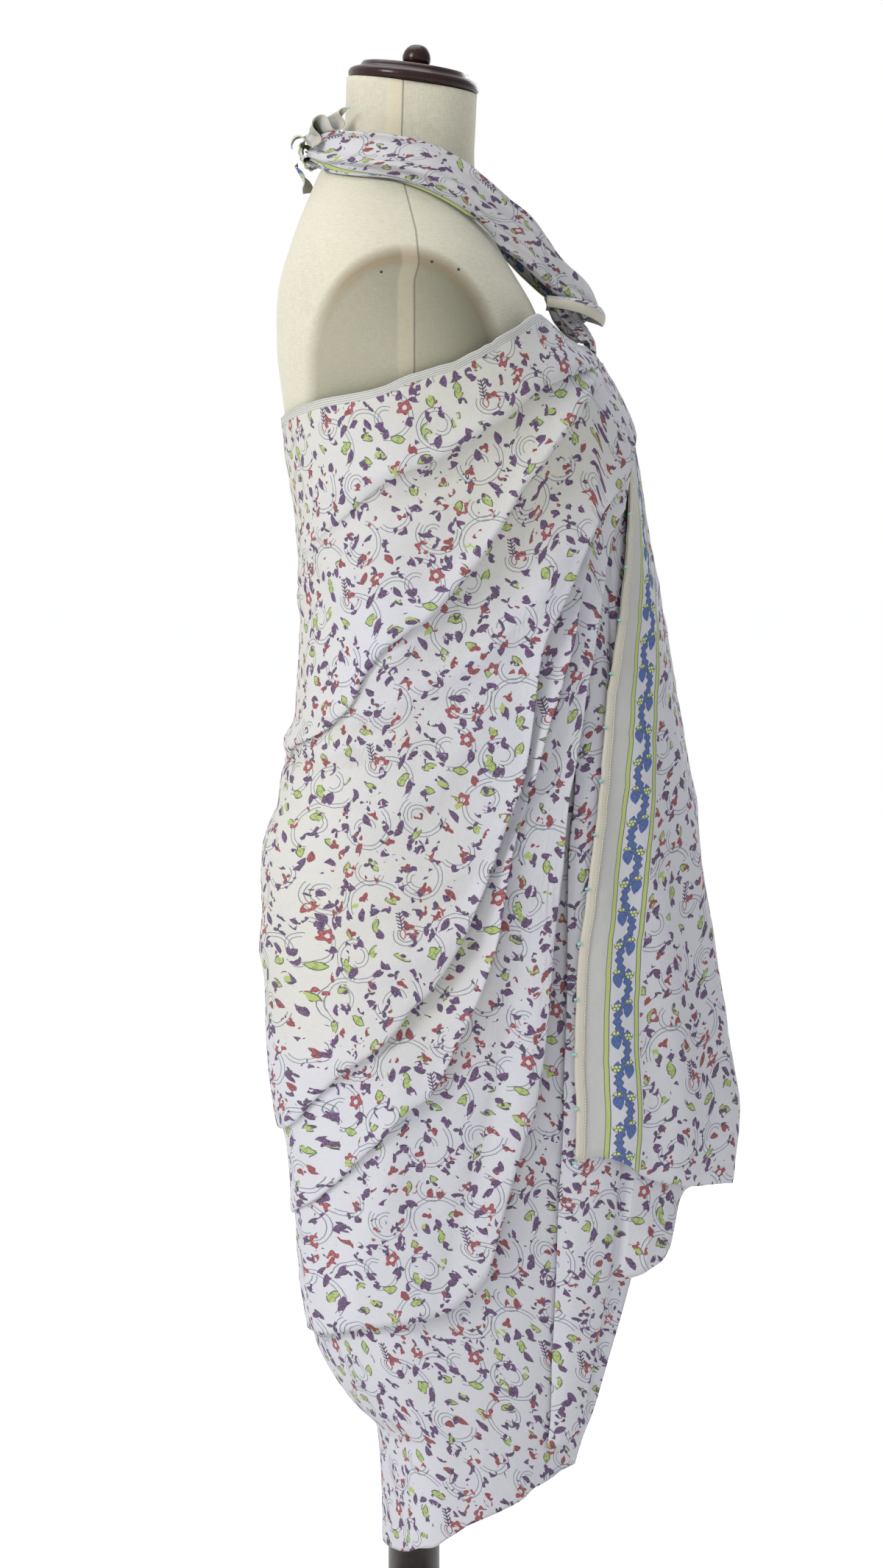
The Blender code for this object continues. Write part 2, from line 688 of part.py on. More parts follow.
# The outer turn: from the right front edge round the back to the left, and across the front.
def outer_grid():
    rows = fold_rows()
    grid = []
    for angle_at, lines, depth in outer_columns():
        lines = np.array(lines)
        heights = []
        outward = []
        for band, share, crest in rows:
            upper = lines[band]
            lower = lines[band + 1]
            if band > 0:
                upper = upper - min(FOLD_FOOT, 0.3 * (upper - lower))
            heights.append(upper + share * (lower - upper))
            rise = share**1.8
            outward.append(depth * crest * rise)
        heights = np.array(heights)
        outward = np.array(outward)
        angle = angle_at(heights)
        start = np.clip((50 - angle) / 20, 0, 1) * np.clip((heights - 1.10) / 0.1, 0, 1)
        outward = outward + EDGE_LIFT * start
        outward = outward + panel_flutes(angle, heights) + knot_gathers(angle, heights)
        grid.append(cloth_point(angle, heights, outward))
    return clear_of_form(np.array(grid), 0.0030)


# The inner turn, seen below the outer one's swag and in the front opening.
def inner_grid():
    grid = []
    for angle, top, bottom in INNER_STATIONS:
        share = np.linspace(0, 1, INNER_ROWS)
        heights = top + share * (bottom - top)
        front = np.clip((84 - angle) / 22, 0, 1)
        inside = INNER_SET + (INNER_FRONT_SET - INNER_SET) * front
        waves = 0.0022 * np.sin(np.radians(angle * 7)) * np.clip((0.56 - heights) / 0.25, 0, 1)
        grid.append(cloth_point(angle + 0 * heights, heights, waves - inside))
    return np.array(grid)


# The cascade: two soft rolls of the near end that fall in steps below the end panel.
def cascade_grid():
    edge_heights = column(CASCADE_LEFT_EDGE, 0)
    edge_angles = column(CASCADE_LEFT_EDGE, 1)
    last = CASCADE_STATIONS[-1][0]
    first = CASCADE_STATIONS[0][0]
    grid = []
    for angle, top, bottom, outward in CASCADE_STATIONS:
        share = np.linspace(0, 1, CASCADE_ROWS)
        heights = top + share * (bottom - top)
        edge = smooth(edge_heights, edge_angles, heights)
        angles = first + (angle - first) / (last - first) * (edge - first)
        spread = (angle - first) / (last - first)
        angles = np.where(heights < 0.62, angle + (edge - last) * spread, angles)
        billow = CASCADE_BILLOW * np.clip((0.588 - heights) / 0.04, 0, 1)
        billow = billow * np.clip((angle - 26) / 6, 0, 1) * np.clip((47 - angle) / 5, 0, 1)
        grid.append(cloth_point(angles, heights, outward * share**0.5 + billow - CASCADE_SET))
    return np.array(grid)


def path_frames(path, towards):
    """Middle points, side and outward directions along a path, facing away from a point per row."""
    line = np.array([row[:3] for row in path])
    tangent = np.gradient(line, axis=0)
    tangent /= np.linalg.norm(tangent, axis=1, keepdims=True)
    out = line - towards
    out -= (out * tangent).sum(axis=1, keepdims=True) * tangent
    out /= np.linalg.norm(out, axis=1, keepdims=True)
    side = np.cross(tangent, out)
    return line, side, out


# A strap: the end of the cloth gathered into lengthwise folds, open toward the neck.
def strap_grid(path, mirror):
    inside = [0.012 if row[1] > -0.04 else row[1] * 0.35 for row in path]
    towards = np.array([[0.0, depth, row[2] - 0.012] for depth, row in zip(inside, path)])
    line, side, out = path_frames(path, towards)
    grid = []
    for k in range(len(path)):
        half_width, half_height = path[k][3:5]
        turn = np.linspace(-1.25, 1.25, STRAP_POINTS) * math.pi / 2
        ridge = STRAP_FOLD_DEPTH * np.cos(turn * STRAP_FOLDS * 1.7 + 0.5 * k * 0.35)
        across = np.sin(turn) * (half_width + 0.4 * ridge)
        above = np.cos(turn) * (half_height + ridge)
        ring = line[k] + np.outer(across, side[k]) + np.outer(above, out[k])
        grid.append(ring)
    grid = clear_of_form(np.array(grid), 0.0052)
    return grid if mirror else grid[::-1]


def twist_grid():
    last = len(TWIST_RINGS) - 1
    grid = []
    for angle in np.linspace(0, 2 * np.pi, TWIST_POINTS, endpoint=False):
        front = max(0.0, 1.3 * math.cos(angle) - 0.3)
        ring = []
        for row, (y, z, half_width, half_depth) in enumerate(TWIST_RINGS):
            lobe = TWIST_LOBE_DEPTH * math.cos(TWIST_LOBES * angle + 0.35 * row)
            drop = TWIST_DROP * front * (row / last) ** 2
            across = -(half_width + lobe) * math.sin(angle)
            ring.append((across, y - (half_depth + lobe) * math.cos(angle), z - drop))
        grid.append(ring)
    return np.array(grid)


# The gathered cloth inside the chest knot, a closed tube of lobes open at both ends.
def build_twist(skin, collection):
    points = clear_of_form(twist_grid(), 0.0030)
    columns, rows = points.shape[:2]
    mesh = bmesh.new()
    corners = [[mesh.verts.new(points[i, j]) for j in range(rows)] for i in range(columns)]
    for i in range(columns):
        after = (i + 1) % columns
        for j in range(rows - 1):
            mesh.faces.new(
                (corners[i][j], corners[after][j], corners[after][j + 1], corners[i][j + 1])
            )
    data = bpy.data.meshes.new("sarong_chest_twist")
    mesh.to_mesh(data)
    mesh.free()
    made = bpy.data.objects.new("sarong_chest_twist", data)
    collection.objects.link(made)
    data.materials.append(skin)
    data.shade_smooth()
    thick = made.modifiers.new("Wall", "SOLIDIFY")
    thick.thickness = WALL
    thick.offset = -1.0
    return made


def band_grid(path, towards, bulge, ruffle=0.0, waves=0.0, across_points=5):
    """A band that follows a path, bulging outward across its width, with ruffled edges."""
    line, side, out = path_frames(path, np.array([towards] * len(path)))
    grid = []
    for k in range(len(path)):
        half_width = path[k][3]
        across = np.linspace(-1, 1, across_points)
        lift = bulge * (1 - across**2)
        lift = lift + ruffle * across * math.sin(waves * k)
        grid.append(line[k] + np.outer(across * half_width, side[k]) + np.outer(lift, out[k]))
    return np.array(grid)


# The turned hem along the beaded edge, laid on the panel's face.
def hem_grid(grid):
    edge = grid[-1]
    along = grid[-2] - edge
    length = np.linalg.norm(along, axis=1, keepdims=True)
    toward = along / length
    outward = np.cross(np.gradient(edge, axis=0), toward)
    outward /= np.linalg.norm(outward, axis=1, keepdims=True)
    from_middle = edge * (1.0, 1.0, 0.0) + (0.0, 0.05, 0.0)
    outward *= np.sign((outward * from_middle).sum(axis=1, keepdims=True))
    width = np.minimum(HEM_WIDTH, 0.7 * length)
    lift = outward * (SEAM_GAP + HEM_WALL)
    return np.array([edge + toward * width + lift, edge + lift])[:, HEM_FIRST_ROW:]


# The nape knot: the ends passed round each other, a lobed sleeve across the back of the neck.
def knot_grid():
    turn = np.linspace(-0.90, 0.90, 21) * math.pi
    grid = []
    for x, half_height, half_depth in KNOT_RINGS:
        lobes = 0.0009 * np.cos(turn * 5 + x * 90)
        y = KNOT_BACK + (half_depth + lobes) * np.cos(turn)
        z = KNOT_HEIGHT + (half_height + lobes) * np.sin(turn)
        grid.append(np.stack([x + 0 * y, y, z], axis=-1))
    return np.array(grid)


# The right end past the knot: it fans out and its hemmed edge runs in deep waves.
def tail_grid():
    along = np.linspace(0, 1, TAIL_COLUMNS)
    known = np.linspace(0, 1, len(TAIL_EDGE))
    edge = np.stack([smooth(known, column(TAIL_EDGE, i), along) for i in range(3)], axis=-1)
    wave = TAIL_WAVE_DEPTH * np.sin(2 * np.pi * TAIL_WAVES * along)
    edge = edge + np.outer(wave, (0.0, 0.6, 0.8))
    edge = edge + np.outer(0.4 * TAIL_WAVE_DEPTH * np.cos(2 * np.pi * TAIL_WAVES * along), (1, 0, 0))
    first, last = (np.array(point) for point in TAIL_ROOT)
    root = first + np.outer(along, last - first)
    share = np.linspace(0, 1, TAIL_ROWS)[None, :, None]
    return root[:, None] + share * (edge - root)[:, None]


def build_sarong(cloth, hem_skin, collection):
    outer = outer_grid()
    grid_object("sarong_outer_turn", outer, cloth, WALL, collection)
    grid_object("sarong_inner_turn", inner_grid(), cloth, WALL, collection)
    grid_object("sarong_front_cascade", cascade_grid(), cloth, WALL, collection)
    grid_object("sarong_end_hem", hem_grid(outer), hem_skin, HEM_WALL, collection)
    grid_object("sarong_right_strap", strap_grid(NEAR_STRAP, False), cloth, WALL, collection)
    grid_object("sarong_left_strap", strap_grid(FAR_STRAP, True), cloth, WALL, collection)
    build_twist(cloth, collection)
    loop = band_grid(CHEST_LOOP, (0.0, -0.125, 1.372), 0.0015)
    grid_object("sarong_chest_loop", loop, cloth, WALL, collection)
    grid_object("sarong_nape_knot", knot_grid(), cloth, WALL, collection)
    grid_object("sarong_nape_tail_right", tail_grid(), cloth, WALL, collection)
    lower = band_grid(LOWER_TAIL, (0.0, 0.0, 1.500), 0.0020, TAIL_RUFFLE, 1.7)
    grid_object("sarong_nape_tail_left", lower, cloth, WALL, collection)


def main():
    clear_scene()
    collection = new_collection("sarong_on_dress_form")
    cloth = material("cotton_voile", (0.86, 0.85, 0.88), 0.85)
    hem_skin = material("turned_hem", (0.84, 0.82, 0.76), 0.85)
    linen = material("linen_cover", (0.66, 0.63, 0.55), 0.90)
    wood = material("dark_wood", (0.045, 0.012, 0.012), 0.22, 0.0, 0.6)
    steel = material("dark_pole", (0.022, 0.017, 0.016), 0.40, 0.2)
    build_torso(linen, collection)
    build_cap(wood, collection)
    build_stand(steel, collection)
    build_sarong(cloth, hem_skin, collection)


main()
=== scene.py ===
"""The looks of a printed cotton sarong, wound and tied at the nape on a limbless dress form.

Metres, +Z up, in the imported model's own frame: the form faces -Y and its right side is -X.
Angles round the body run from the front (0) past the form's right side (90), the back (180)
and the left side (270).
"""

import json
import math

import bpy
import numpy as np
from mathutils import Matrix, Vector, noise

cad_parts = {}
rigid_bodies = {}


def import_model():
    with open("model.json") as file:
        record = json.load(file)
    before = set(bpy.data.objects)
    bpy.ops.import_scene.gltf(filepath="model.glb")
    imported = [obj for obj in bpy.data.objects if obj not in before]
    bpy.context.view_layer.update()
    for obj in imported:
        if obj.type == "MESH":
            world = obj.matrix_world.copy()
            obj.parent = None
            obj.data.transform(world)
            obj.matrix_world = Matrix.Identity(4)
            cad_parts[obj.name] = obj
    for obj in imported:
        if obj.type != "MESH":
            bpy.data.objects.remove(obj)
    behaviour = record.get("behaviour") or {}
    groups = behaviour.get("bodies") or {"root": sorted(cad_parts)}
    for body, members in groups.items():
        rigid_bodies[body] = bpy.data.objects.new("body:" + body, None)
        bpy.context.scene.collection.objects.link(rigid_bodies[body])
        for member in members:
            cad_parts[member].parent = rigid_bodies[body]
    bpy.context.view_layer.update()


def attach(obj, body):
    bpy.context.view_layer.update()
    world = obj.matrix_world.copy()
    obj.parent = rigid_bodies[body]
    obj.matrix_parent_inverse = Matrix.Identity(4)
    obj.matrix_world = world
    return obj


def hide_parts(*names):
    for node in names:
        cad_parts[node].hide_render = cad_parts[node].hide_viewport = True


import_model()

# The camera stands level with the chest on the form's right side and looks along +X. It comes
# first, with the image's width in pixels and the size of a pixel on the form's middle plane.
IMAGE_WIDTH = 1200
PIXEL = 0.00067
CAMERA_AWAY = 3.6
CAMERA_HEIGHT = 1.25
AIM_HEIGHT = 0.952
CAMERA_SIDE = -0.02546
SENSOR = 36.0

camera_data = bpy.data.cameras.new("camera")
camera = bpy.data.objects.new("camera", camera_data)
bpy.context.scene.collection.objects.link(camera)
camera.location = (-CAMERA_AWAY, CAMERA_SIDE, CAMERA_HEIGHT)
aim = Vector((0.0, CAMERA_SIDE, AIM_HEIGHT)) - camera.location
camera.rotation_euler = aim.to_track_quat("-Z", "Y").to_euler()
camera_data.sensor_fit = "HORIZONTAL"
camera_data.sensor_width = SENSOR
camera_data.lens = aim.length / PIXEL / IMAGE_WIDTH * SENSOR
camera_data.clip_end = 100
bpy.context.scene.camera = camera


# Soft studio light: a wide key from above on the camera's left, a weak light from the top and one
# from behind, in a white room. Colours are shown plainly, as a product photo shows them.
bpy.context.scene.view_settings.view_transform = "Standard"


def area_light(name, place, aim_at, size, power, colour=(1.0, 1.0, 1.0)):
    """A rectangular light that faces a point."""
    data = bpy.data.lights.new(name, "AREA")
    data.shape = "RECTANGLE"
    data.size = size[0]
    data.size_y = size[1]
    data.energy = power
    data.color = colour
    made = bpy.data.objects.new(name, data)
    bpy.context.scene.collection.objects.link(made)
    made.location = place
    away = Vector(aim_at) - Vector(place)
    made.rotation_euler = away.to_track_quat("-Z", "Y").to_euler()


area_light("key", (-2.2, 2.4, 3.0), (0, 0, 0.95), (1.2, 1.6), 100, (1.0, 0.985, 0.965))
area_light("top", (0.6, 0.2, 3.6), (0, 0, 1.0), (1.8, 1.8), 24)
area_light("far", (3.2, -1.8, 2.2), (0, 0, 0.9), (2.0, 2.0), 40)

world = bpy.data.worlds.new("pale room")
bpy.context.scene.world = world
world.use_nodes = True


def srgb(red, green, blue, alpha=1.0):
    """A linear colour from its everyday 0 to 255 values."""
    share = np.array([red, green, blue]) / 255
    linear = np.where(share <= 0.04045, share / 12.92, ((share + 0.055) / 1.055) ** 2.4)
    return (*[float(part) for part in linear], alpha)


class Value:
    """One socket of a material, so that shader maths reads as plain expressions."""

    def __init__(self, tree, socket=None):
        self.tree = tree
        self.socket = socket

    def node(self, kind, settings=None, inputs=None, output=0):
        """A node of this type, with its settings, and values or links for its sockets."""
        made = self.tree.nodes.new(kind)
        for name, value in (settings or {}).items():
            if name == "stops":
                fill_ramp(made.color_ramp, value)
            else:
                setattr(made, name, value)
        for key, value in (inputs or {}).items():
            if isinstance(value, Value):
                self.tree.links.new(value.socket, made.inputs[key])
            else:
                made.inputs[key].default_value = value
        return Value(self.tree, made.outputs[output])

    def maths(self, operation, *others, clamp=False):
        """One step of maths on this value and others."""
        values = dict(enumerate((self, *others)))
        return self.node("ShaderNodeMath", {"operation": operation, "use_clamp": clamp}, values)

    def vector(self, operation, *others, output=0):
        """One step of vector maths; output 1 is a plain number, such as a length."""
        values = dict(enumerate((self, *others)))
        return self.node("ShaderNodeVectorMath", {"operation": operation}, values, output)

    def __add__(self, other):
        return self.maths("ADD", other)

    __radd__ = __add__

    def __mul__(self, other):
        return self.maths("MULTIPLY", other)

    __rmul__ = __mul__

    def __sub__(self, other):
        return self.maths("SUBTRACT", other)

    def __rsub__(self, other):
        return (self * -1.0).maths("ADD", other)

    def __truediv__(self, other):
        return self.maths("DIVIDE", other)

    def __pow__(self, other):
        return self.maths("POWER", other)

    def __abs__(self):
        return self.maths("ABSOLUTE")

    def sine(self):
        return self.maths("SINE")

    def cosine(self):
        return self.maths("COSINE")

    def least(self, other):
        return self.maths("MINIMUM", other)

    def most(self, other):
        return self.maths("MAXIMUM", other)

    def wrap(self, low, high):
        return self.maths("WRAP", high, low)

    def clamped(self):
        """This value kept from 0 to 1."""
        return self.maths("ADD", 0.0, clamp=True)

    def below(self, edge, soft):
        """1 where this is under the edge, 0 where over, and a soft step between."""
        return ((edge - self) / soft + 0.5).clamped()

    def between(self, low, high, soft):
        """1 from low to high, 0 outside, and soft steps between."""
        return (abs(self - (low + high) / 2)).below((high - low) / 2, soft)

    def noise(self, scale, detail=2.0, output=0):
        """Cloudy noise at this place: output 0 is one number, output 1 three of them."""
        inputs = {"Vector": self, "Scale": scale, "Detail": detail}
        return self.node("ShaderNodeTexNoise", {}, inputs, output)

    def lot(self, dimensions, key, output=0):
        """Random numbers from 0 to 1, the same ones for the same value."""
        settings = {"noise_dimensions": dimensions}
        return self.node("ShaderNodeTexWhiteNoise", settings, {key: self}, output)

    def parts(self):
        """The X, Y and Z of a vector."""
        split = self.tree.nodes.new("ShaderNodeSeparateXYZ")
        self.tree.links.new(self.socket, split.inputs[0])
        return [Value(self.tree, out) for out in split.outputs]

    def mix(self, first, second):
        """Between two colours, with this as the share of the second."""
        mixed = self.tree.nodes.new("ShaderNodeMix")
        mixed.data_type = "RGBA"
        self.tree.links.new(self.socket, mixed.inputs[0])
        for key, colour in ((6, first), (7, second)):
            if isinstance(colour, Value):
                self.tree.links.new(colour.socket, mixed.inputs[key])
            else:
                mixed.inputs[key].default_value = colour
        return Value(self.tree, mixed.outputs[2])


def fill_ramp(ramp, stops):
    """Sets a colour ramp's stops from (place, colour) pairs."""
    while len(ramp.elements) > len(stops):
        ramp.elements.remove(ramp.elements[-1])
    while len(ramp.elements) < len(stops):
        ramp.elements.new(1.0)
    for element, (place, colour) in zip(ramp.elements, stops):
        element.position = place
        element.color = colour


# The room is white behind the form and darker toward its front, which gives the folds their shade.
ROOM_STOPS = (  # place from the far front (0) to the far back (1), colour
    (0.0, (0.50, 0.51, 0.53, 1)),
    (0.34, (0.80, 0.81, 0.82, 1)),
    (0.42, (1.0, 1.0, 1.0, 1)),
)
start = Value(world.node_tree)
_, toward_back, _ = start.node("ShaderNodeTexCoord").parts()
room = start.node("ShaderNodeValToRGB", {"stops": ROOM_STOPS}, {0: toward_back * 0.5 + 0.5})
background = world.node_tree.nodes["Background"]
world.node_tree.links.new(room.socket, background.inputs["Color"])


def new_material(name, roughness, metallic=0.0, coat=0.0, sheen=0.0):
    """A material with one Principled shader, the shader's node, and a starting value."""
    made = bpy.data.materials.new(name)
    made.use_nodes = True
    tree = made.node_tree
    shader = tree.nodes["Principled BSDF"]
    shader.inputs["Roughness"].default_value = roughness
    shader.inputs["Metallic"].default_value = metallic
    shader.inputs["Coat Weight"].default_value = coat
    shader.inputs["Sheen Weight"].default_value = sheen
    return made, shader, Value(tree)


def feed(shader, name, value):
    """Links a value to one of the shader's sockets."""
    value.tree.links.new(value.socket, shader.inputs[name])


def smooth(known, values, at):
    """Monotone cubic through a table: no value overshoots its neighbours."""
    known = np.asarray(known, float)
    values = np.asarray(values, float)
    if known[0] > known[-1]:
        known = known[::-1]
        values = values[::-1]
    step = np.diff(known)
    slope = np.diff(values) / step
    tangent = np.zeros_like(values)
    tangent[0] = slope[0]
    tangent[-1] = slope[-1]
    product = slope[:-1] * slope[1:]
    total = slope[:-1] + slope[1:]
    safe = np.where(total == 0, 1.0, total)
    tangent[1:-1] = np.where(product > 0, 2 * product / safe, 0.0)
    at = np.clip(at, known[0], known[-1])
    k = np.clip(np.searchsorted(known, at) - 1, 0, len(step) - 1)
    h = step[k]
    t = (at - known[k]) / h
    start = (2 * t**3 - 3 * t**2 + 1) * values[k] + (t**3 - 2 * t**2 + t) * h * tangent[k]
    end = (3 * t**2 - 2 * t**3) * values[k + 1] + (t**3 - t**2) * h * tangent[k + 1]
    return start + end


def column(table, index):
    """One column of a table."""
    return [row[index] for row in table]


def finer(table, at):
    """A table's other columns at new values of its first one, a row of numbers for each column."""
    return [smooth(column(table, 0), column(table, i), at) for i in range(1, len(table[0]))]


def finish_object(name, data, skin=None):
    """An object at the origin with this mesh and material, riding on the one body."""
    made = bpy.data.objects.new(name, data)
    bpy.context.scene.collection.objects.link(made)
    if skin is not None:
        data.materials.clear()
        data.materials.append(skin)
    data.shade_smooth()
    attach(made, "root")
    return made


# The dress form: a padded torso under a cover of unbleached linen with a seam down each side, a
# stained ring round the armhole and painted shade inside it. One smooth closed body from the neck's
# cut top to the hips.
FORM_POWER = 2.3
FORM_SIDES = 160
FORM_LEVELS = 190
TORSO_BOTTOM = 0.690
NECK_TOP = 1.580
FORM_RINGS = (  # height, middle, half depth, half width, slope toward the back
    (1.5800, 0.0012, 0.0585, 0.0550, 0.137),
    (1.5400, 0.0030, 0.0582, 0.0550, 0.200),
    (1.5080, 0.0080, 0.0640, 0.0620, 0.220),
    (1.4820, 0.0130, 0.0740, 0.0900, 0.200),
    (1.4550, 0.0130, 0.0860, 0.1300, 0.150),
    (1.4250, 0.0110, 0.1000, 0.1610, 0.100),
    (1.3900, 0.0072, 0.1142, 0.1740, 0.050),
    (1.3500, 0.0000, 0.1226, 0.1760, 0.000),
    (1.3000, -0.0190, 0.1365, 0.1690, 0.000),
    (1.2500, -0.0340, 0.1450, 0.1600, 0.000),
    (1.2000, -0.0370, 0.1400, 0.1490, 0.000),
    (1.1500, -0.0300, 0.1270, 0.1370, 0.000),
    (1.1000, -0.0200, 0.1150, 0.1280, 0.000),
    (1.0500, -0.0130, 0.1110, 0.1270, 0.000),
    (1.0000, -0.0100, 0.1130, 0.1360, 0.000),
    (0.9500, -0.0070, 0.1200, 0.1490, 0.000),
    (0.9000, -0.0020, 0.1270, 0.1620, 0.000),
    (0.8500, 0.0010, 0.1300, 0.1710, 0.000),
    (0.8000, 0.0010, 0.1270, 0.1740, 0.000),
    (0.7400, 0.0010, 0.1220, 0.1720, 0.000),
    (0.6900, 0.0010, 0.1140, 0.1650, 0.000),
)
SIDE_SEAM = (  # height and place of the side seam, seen from the side
    (1.600, 0.0075),
    (1.502, 0.0105),
    (1.445, -0.0034),
    (1.415, -0.0067),
    (1.400, -0.0025),
    (0.690, -0.0025),
)


def ring_power(value, power):
    """A sine or cosine raised for a superellipse, with its sign kept."""
    return np.sign(value) * np.abs(value) ** (2.0 / power)


def mesh_of(name, points, faces):
    """A mesh from points and the faces between them."""
    data = bpy.data.meshes.new(name)
    data.from_pydata([tuple(p) for p in points], [], [tuple(f) for f in faces])
    data.update()
    return data


def ring_mesh(name, rings):
    """A closed solid lofted through rings of equal length, with flat ends."""
    count = len(rings[0])
    points = np.concatenate(rings)
    faces = []
    for row in range(len(rings) - 1):
        for k in range(count):
            after = (k + 1) % count
            upper = row * count
            lower = upper + count
            faces.append((upper + k, upper + after, lower + after, lower + k))
    faces.append(tuple(range(count - 1, -1, -1)))
    last = (len(rings) - 1) * count
    faces.append(tuple(range(last, last + count)))
    return mesh_of(name, points, faces)


turn = np.linspace(0, -2 * np.pi, FORM_SIDES, endpoint=False)
rings = []
for level in np.linspace(NECK_TOP, TORSO_BOTTOM, FORM_LEVELS):
    middle, depth, width, slope = finer(FORM_RINGS, level)
    ring_y = middle + depth * ring_power(np.cos(turn), FORM_POWER)
    ring_x = width * ring_power(np.sin(turn), FORM_POWER)
    rings.append(np.stack([ring_x, ring_y, level + slope * (ring_y - middle)], axis=-1))

linen, linen_shader, start = new_material("linen_cover", 0.92, sheen=0.12)
place = start.node("ShaderNodeTexCoord", output=3)
x, y, z = place.parts()
warp = place.vector("MULTIPLY", (900, 900, 160)).noise(1.0)
weft = place.vector("MULTIPLY", (160, 160, 1100)).noise(1.0)
cloudy = place.noise(9.0, 4.0)
weave = warp + weft
LINEN = srgb(176, 173, 156)
LINEN_LIGHT = srgb(192, 189, 173)
LINEN_DARK = srgb(146, 142, 124)
TAPE = srgb(188, 178, 152)
STAIN = srgb(112, 92, 62)
# painted shade: the darker colour inside the armhole's arch
ARCH_SHADE = srgb(96, 94, 76)
SEAM_THREAD = srgb(84, 78, 66)
PIN_HOLE = srgb(30, 26, 22)
SEAM_LOW = 0.6  # the ramp of the seam's places starts at this height
SEAM_SCALE = 10.0  # and holds them this much larger, about a middle grey
TAPE_OFFSET = 0.0080  # the tape's middle lies this far behind the seam
TAPE_HALF = 0.0066
TAPE_NECK = 1.50  # above this height the tape shows plainly, below it faintly
TAPE_SHOULDER = 1.432  # between the two heights it doesn't show
ARCH_MIDDLE = 0.0070
ARCH_FOOT = 1.325  # the armhole's arch springs here, on upright sides
ARCH_REACH = 0.083
ARCH_RISE = 0.102
ON_SIDE = 0.095  # only cloth further than this from the middle plane is on a side
PIN_HOLES = ((0.0262, 1.4072), (-0.0172, 1.4163), (-0.0402, 1.4101))
colour = ((weave - 0.55) * 1.1).clamped().mix(LINEN_DARK, LINEN_LIGHT)
colour = (cloudy * 0.6 + 0.2).mix(colour, LINEN)
seam_at = start.node(
    "ShaderNodeValToRGB",
    {"stops": [(h - SEAM_LOW, (0.5 + SEAM_SCALE * s,) * 3 + (1,)) for h, s in SIDE_SEAM[::-1]]},
    {0: z - SEAM_LOW},
)
from_seam = y - (seam_at - 0.5) / SEAM_SCALE
seam = abs(from_seam).below(0.0007, 0.0006)
tape = (from_seam - TAPE_OFFSET).between(-TAPE_HALF, TAPE_HALF, 0.0024)
arch_across = (y - ARCH_MIDDLE) / ARCH_REACH
arch_up = (z - ARCH_FOOT).most(0.0) / ARCH_RISE
arch = (arch_across**2.0 + arch_up**2.0) ** 0.5
on_side = 1.0 - abs(x).below(ON_SIDE, 0.02)
near_top = ((z - 1.35) / 0.06).clamped()
stain = abs(arch - 0.94).below(0.05, 0.12) * on_side * near_top * (cloudy * 1.2 + 0.2)
# Painted shade inside the armhole's arch, darker toward the front and toward the arch's rim.
inside = arch.below(0.98, 0.16) * on_side * (0.80 - y * 2.4) * (arch * 0.4 + 0.62)
holes = None
for hole_y, hole_z in PIN_HOLES:
    away = ((y - hole_y) ** 2.0 + (z - hole_z) ** 2.0) ** 0.5
    hole = away.below(0.0013, 0.0007) * x.below(0.0, 0.01)
    holes = hole if holes is None else holes.most(hole)
colour = inside.least(0.95).mix(colour, ARCH_SHADE)
colour = (stain * 0.9).least(0.8).mix(colour, STAIN)
under_neck = z.below(TAPE_NECK, 0.004)
tape_shows = under_neck * z.below(TAPE_SHOULDER, 0.008) * 0.2 + (1.0 - under_neck) * 0.6
colour = (tape * tape_shows).mix(colour, TAPE)
colour = (seam * 0.6).mix(colour, SEAM_THREAD)
colour = holes.mix(colour, PIN_HOLE)
feed(linen_shader, "Base Color", colour)
relief = weave * 0.5 - seam * 1.4 + tape * 0.25
bump = start.node("ShaderNodeBump", {}, {"Strength": 0.5, "Distance": 0.0006, "Height": relief})
feed(linen_shader, "Normal", bump)

torso = finish_object("torso_cover", ring_mesh("torso_cover", rings), linen)
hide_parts("form_torso")

# The neck's cut top carries a turned cap and a ball knob of dark polished wood, tilted to the front
# as the neck is.
CAP_TILT = math.radians(7.8)
CAP_HEIGHT = 1.5803
AIR = 0.0004
TURNED_STEPS = 120
CAP_PROFILE = (
    (0.0000, 0.0170),
    (0.0400, 0.0168),
    (0.0470, 0.0160),
    (0.0490, 0.0140),
    (0.0492, 0.0115),
    (0.0530, 0.0105),
    (0.0575, 0.0085),
    (0.0592, 0.0060),
    (0.0595, 0.0040),
    (0.0588, 0.0015),
    (0.0575, 0.0000),
    (0.0000, 0.0000),
)
KNOB_PROFILE = (
    (0.0000, 0.0370),
    (0.0050, 0.0360),
    (0.0093, 0.0332),
    (0.0120, 0.0290),
    (0.0130, 0.0242),
    (0.0121, 0.0205),
    (0.0098, 0.0182),
    (0.0085, 0.0174),
    (0.0000, 0.0174),
)


def rounded_profile(profile, steps):
    """A smooth line through a turned profile, its flat end kept sharp."""
    points = np.array(profile)
    length = np.concatenate([[0], np.cumsum(np.linalg.norm(np.diff(points, axis=0), axis=1))])
    at = np.unique(np.concatenate([np.linspace(0, length[-1], steps), length[-2:]]))
    return np.stack([smooth(length, points[:, 0], at), smooth(length, points[:, 1], at)], axis=-1)


def turned_mesh(name, profile, place):
    """A closed solid turned about the vertical axis, top to bottom, then set in its place."""
    faces = []
    count = TURNED_STEPS
    points = [(0.0, 0.0, profile[0][1])]
    for radius, height in profile[1:-1]:
        for k in range(count):
            angle = -2 * math.pi * k / count
            points.append((radius * math.sin(angle), radius * math.cos(angle), height))
    points.append((0.0, 0.0, profile[-1][1]))
    last = len(points) - 1
    rows = len(profile) - 2
    for k in range(count):
        after = (k + 1) % count
        faces.append((0, 1 + after, 1 + k))
        for row in range(rows - 1):
            upper = 1 + row * count
            lower = upper + count
            faces.append((upper + k, upper + after, lower + after, lower + k))
        bottom = 1 + (rows - 1) * count
        faces.append((bottom + k, bottom + after, last))
    data = mesh_of(name, points, faces)
    data.transform(place)
    return data


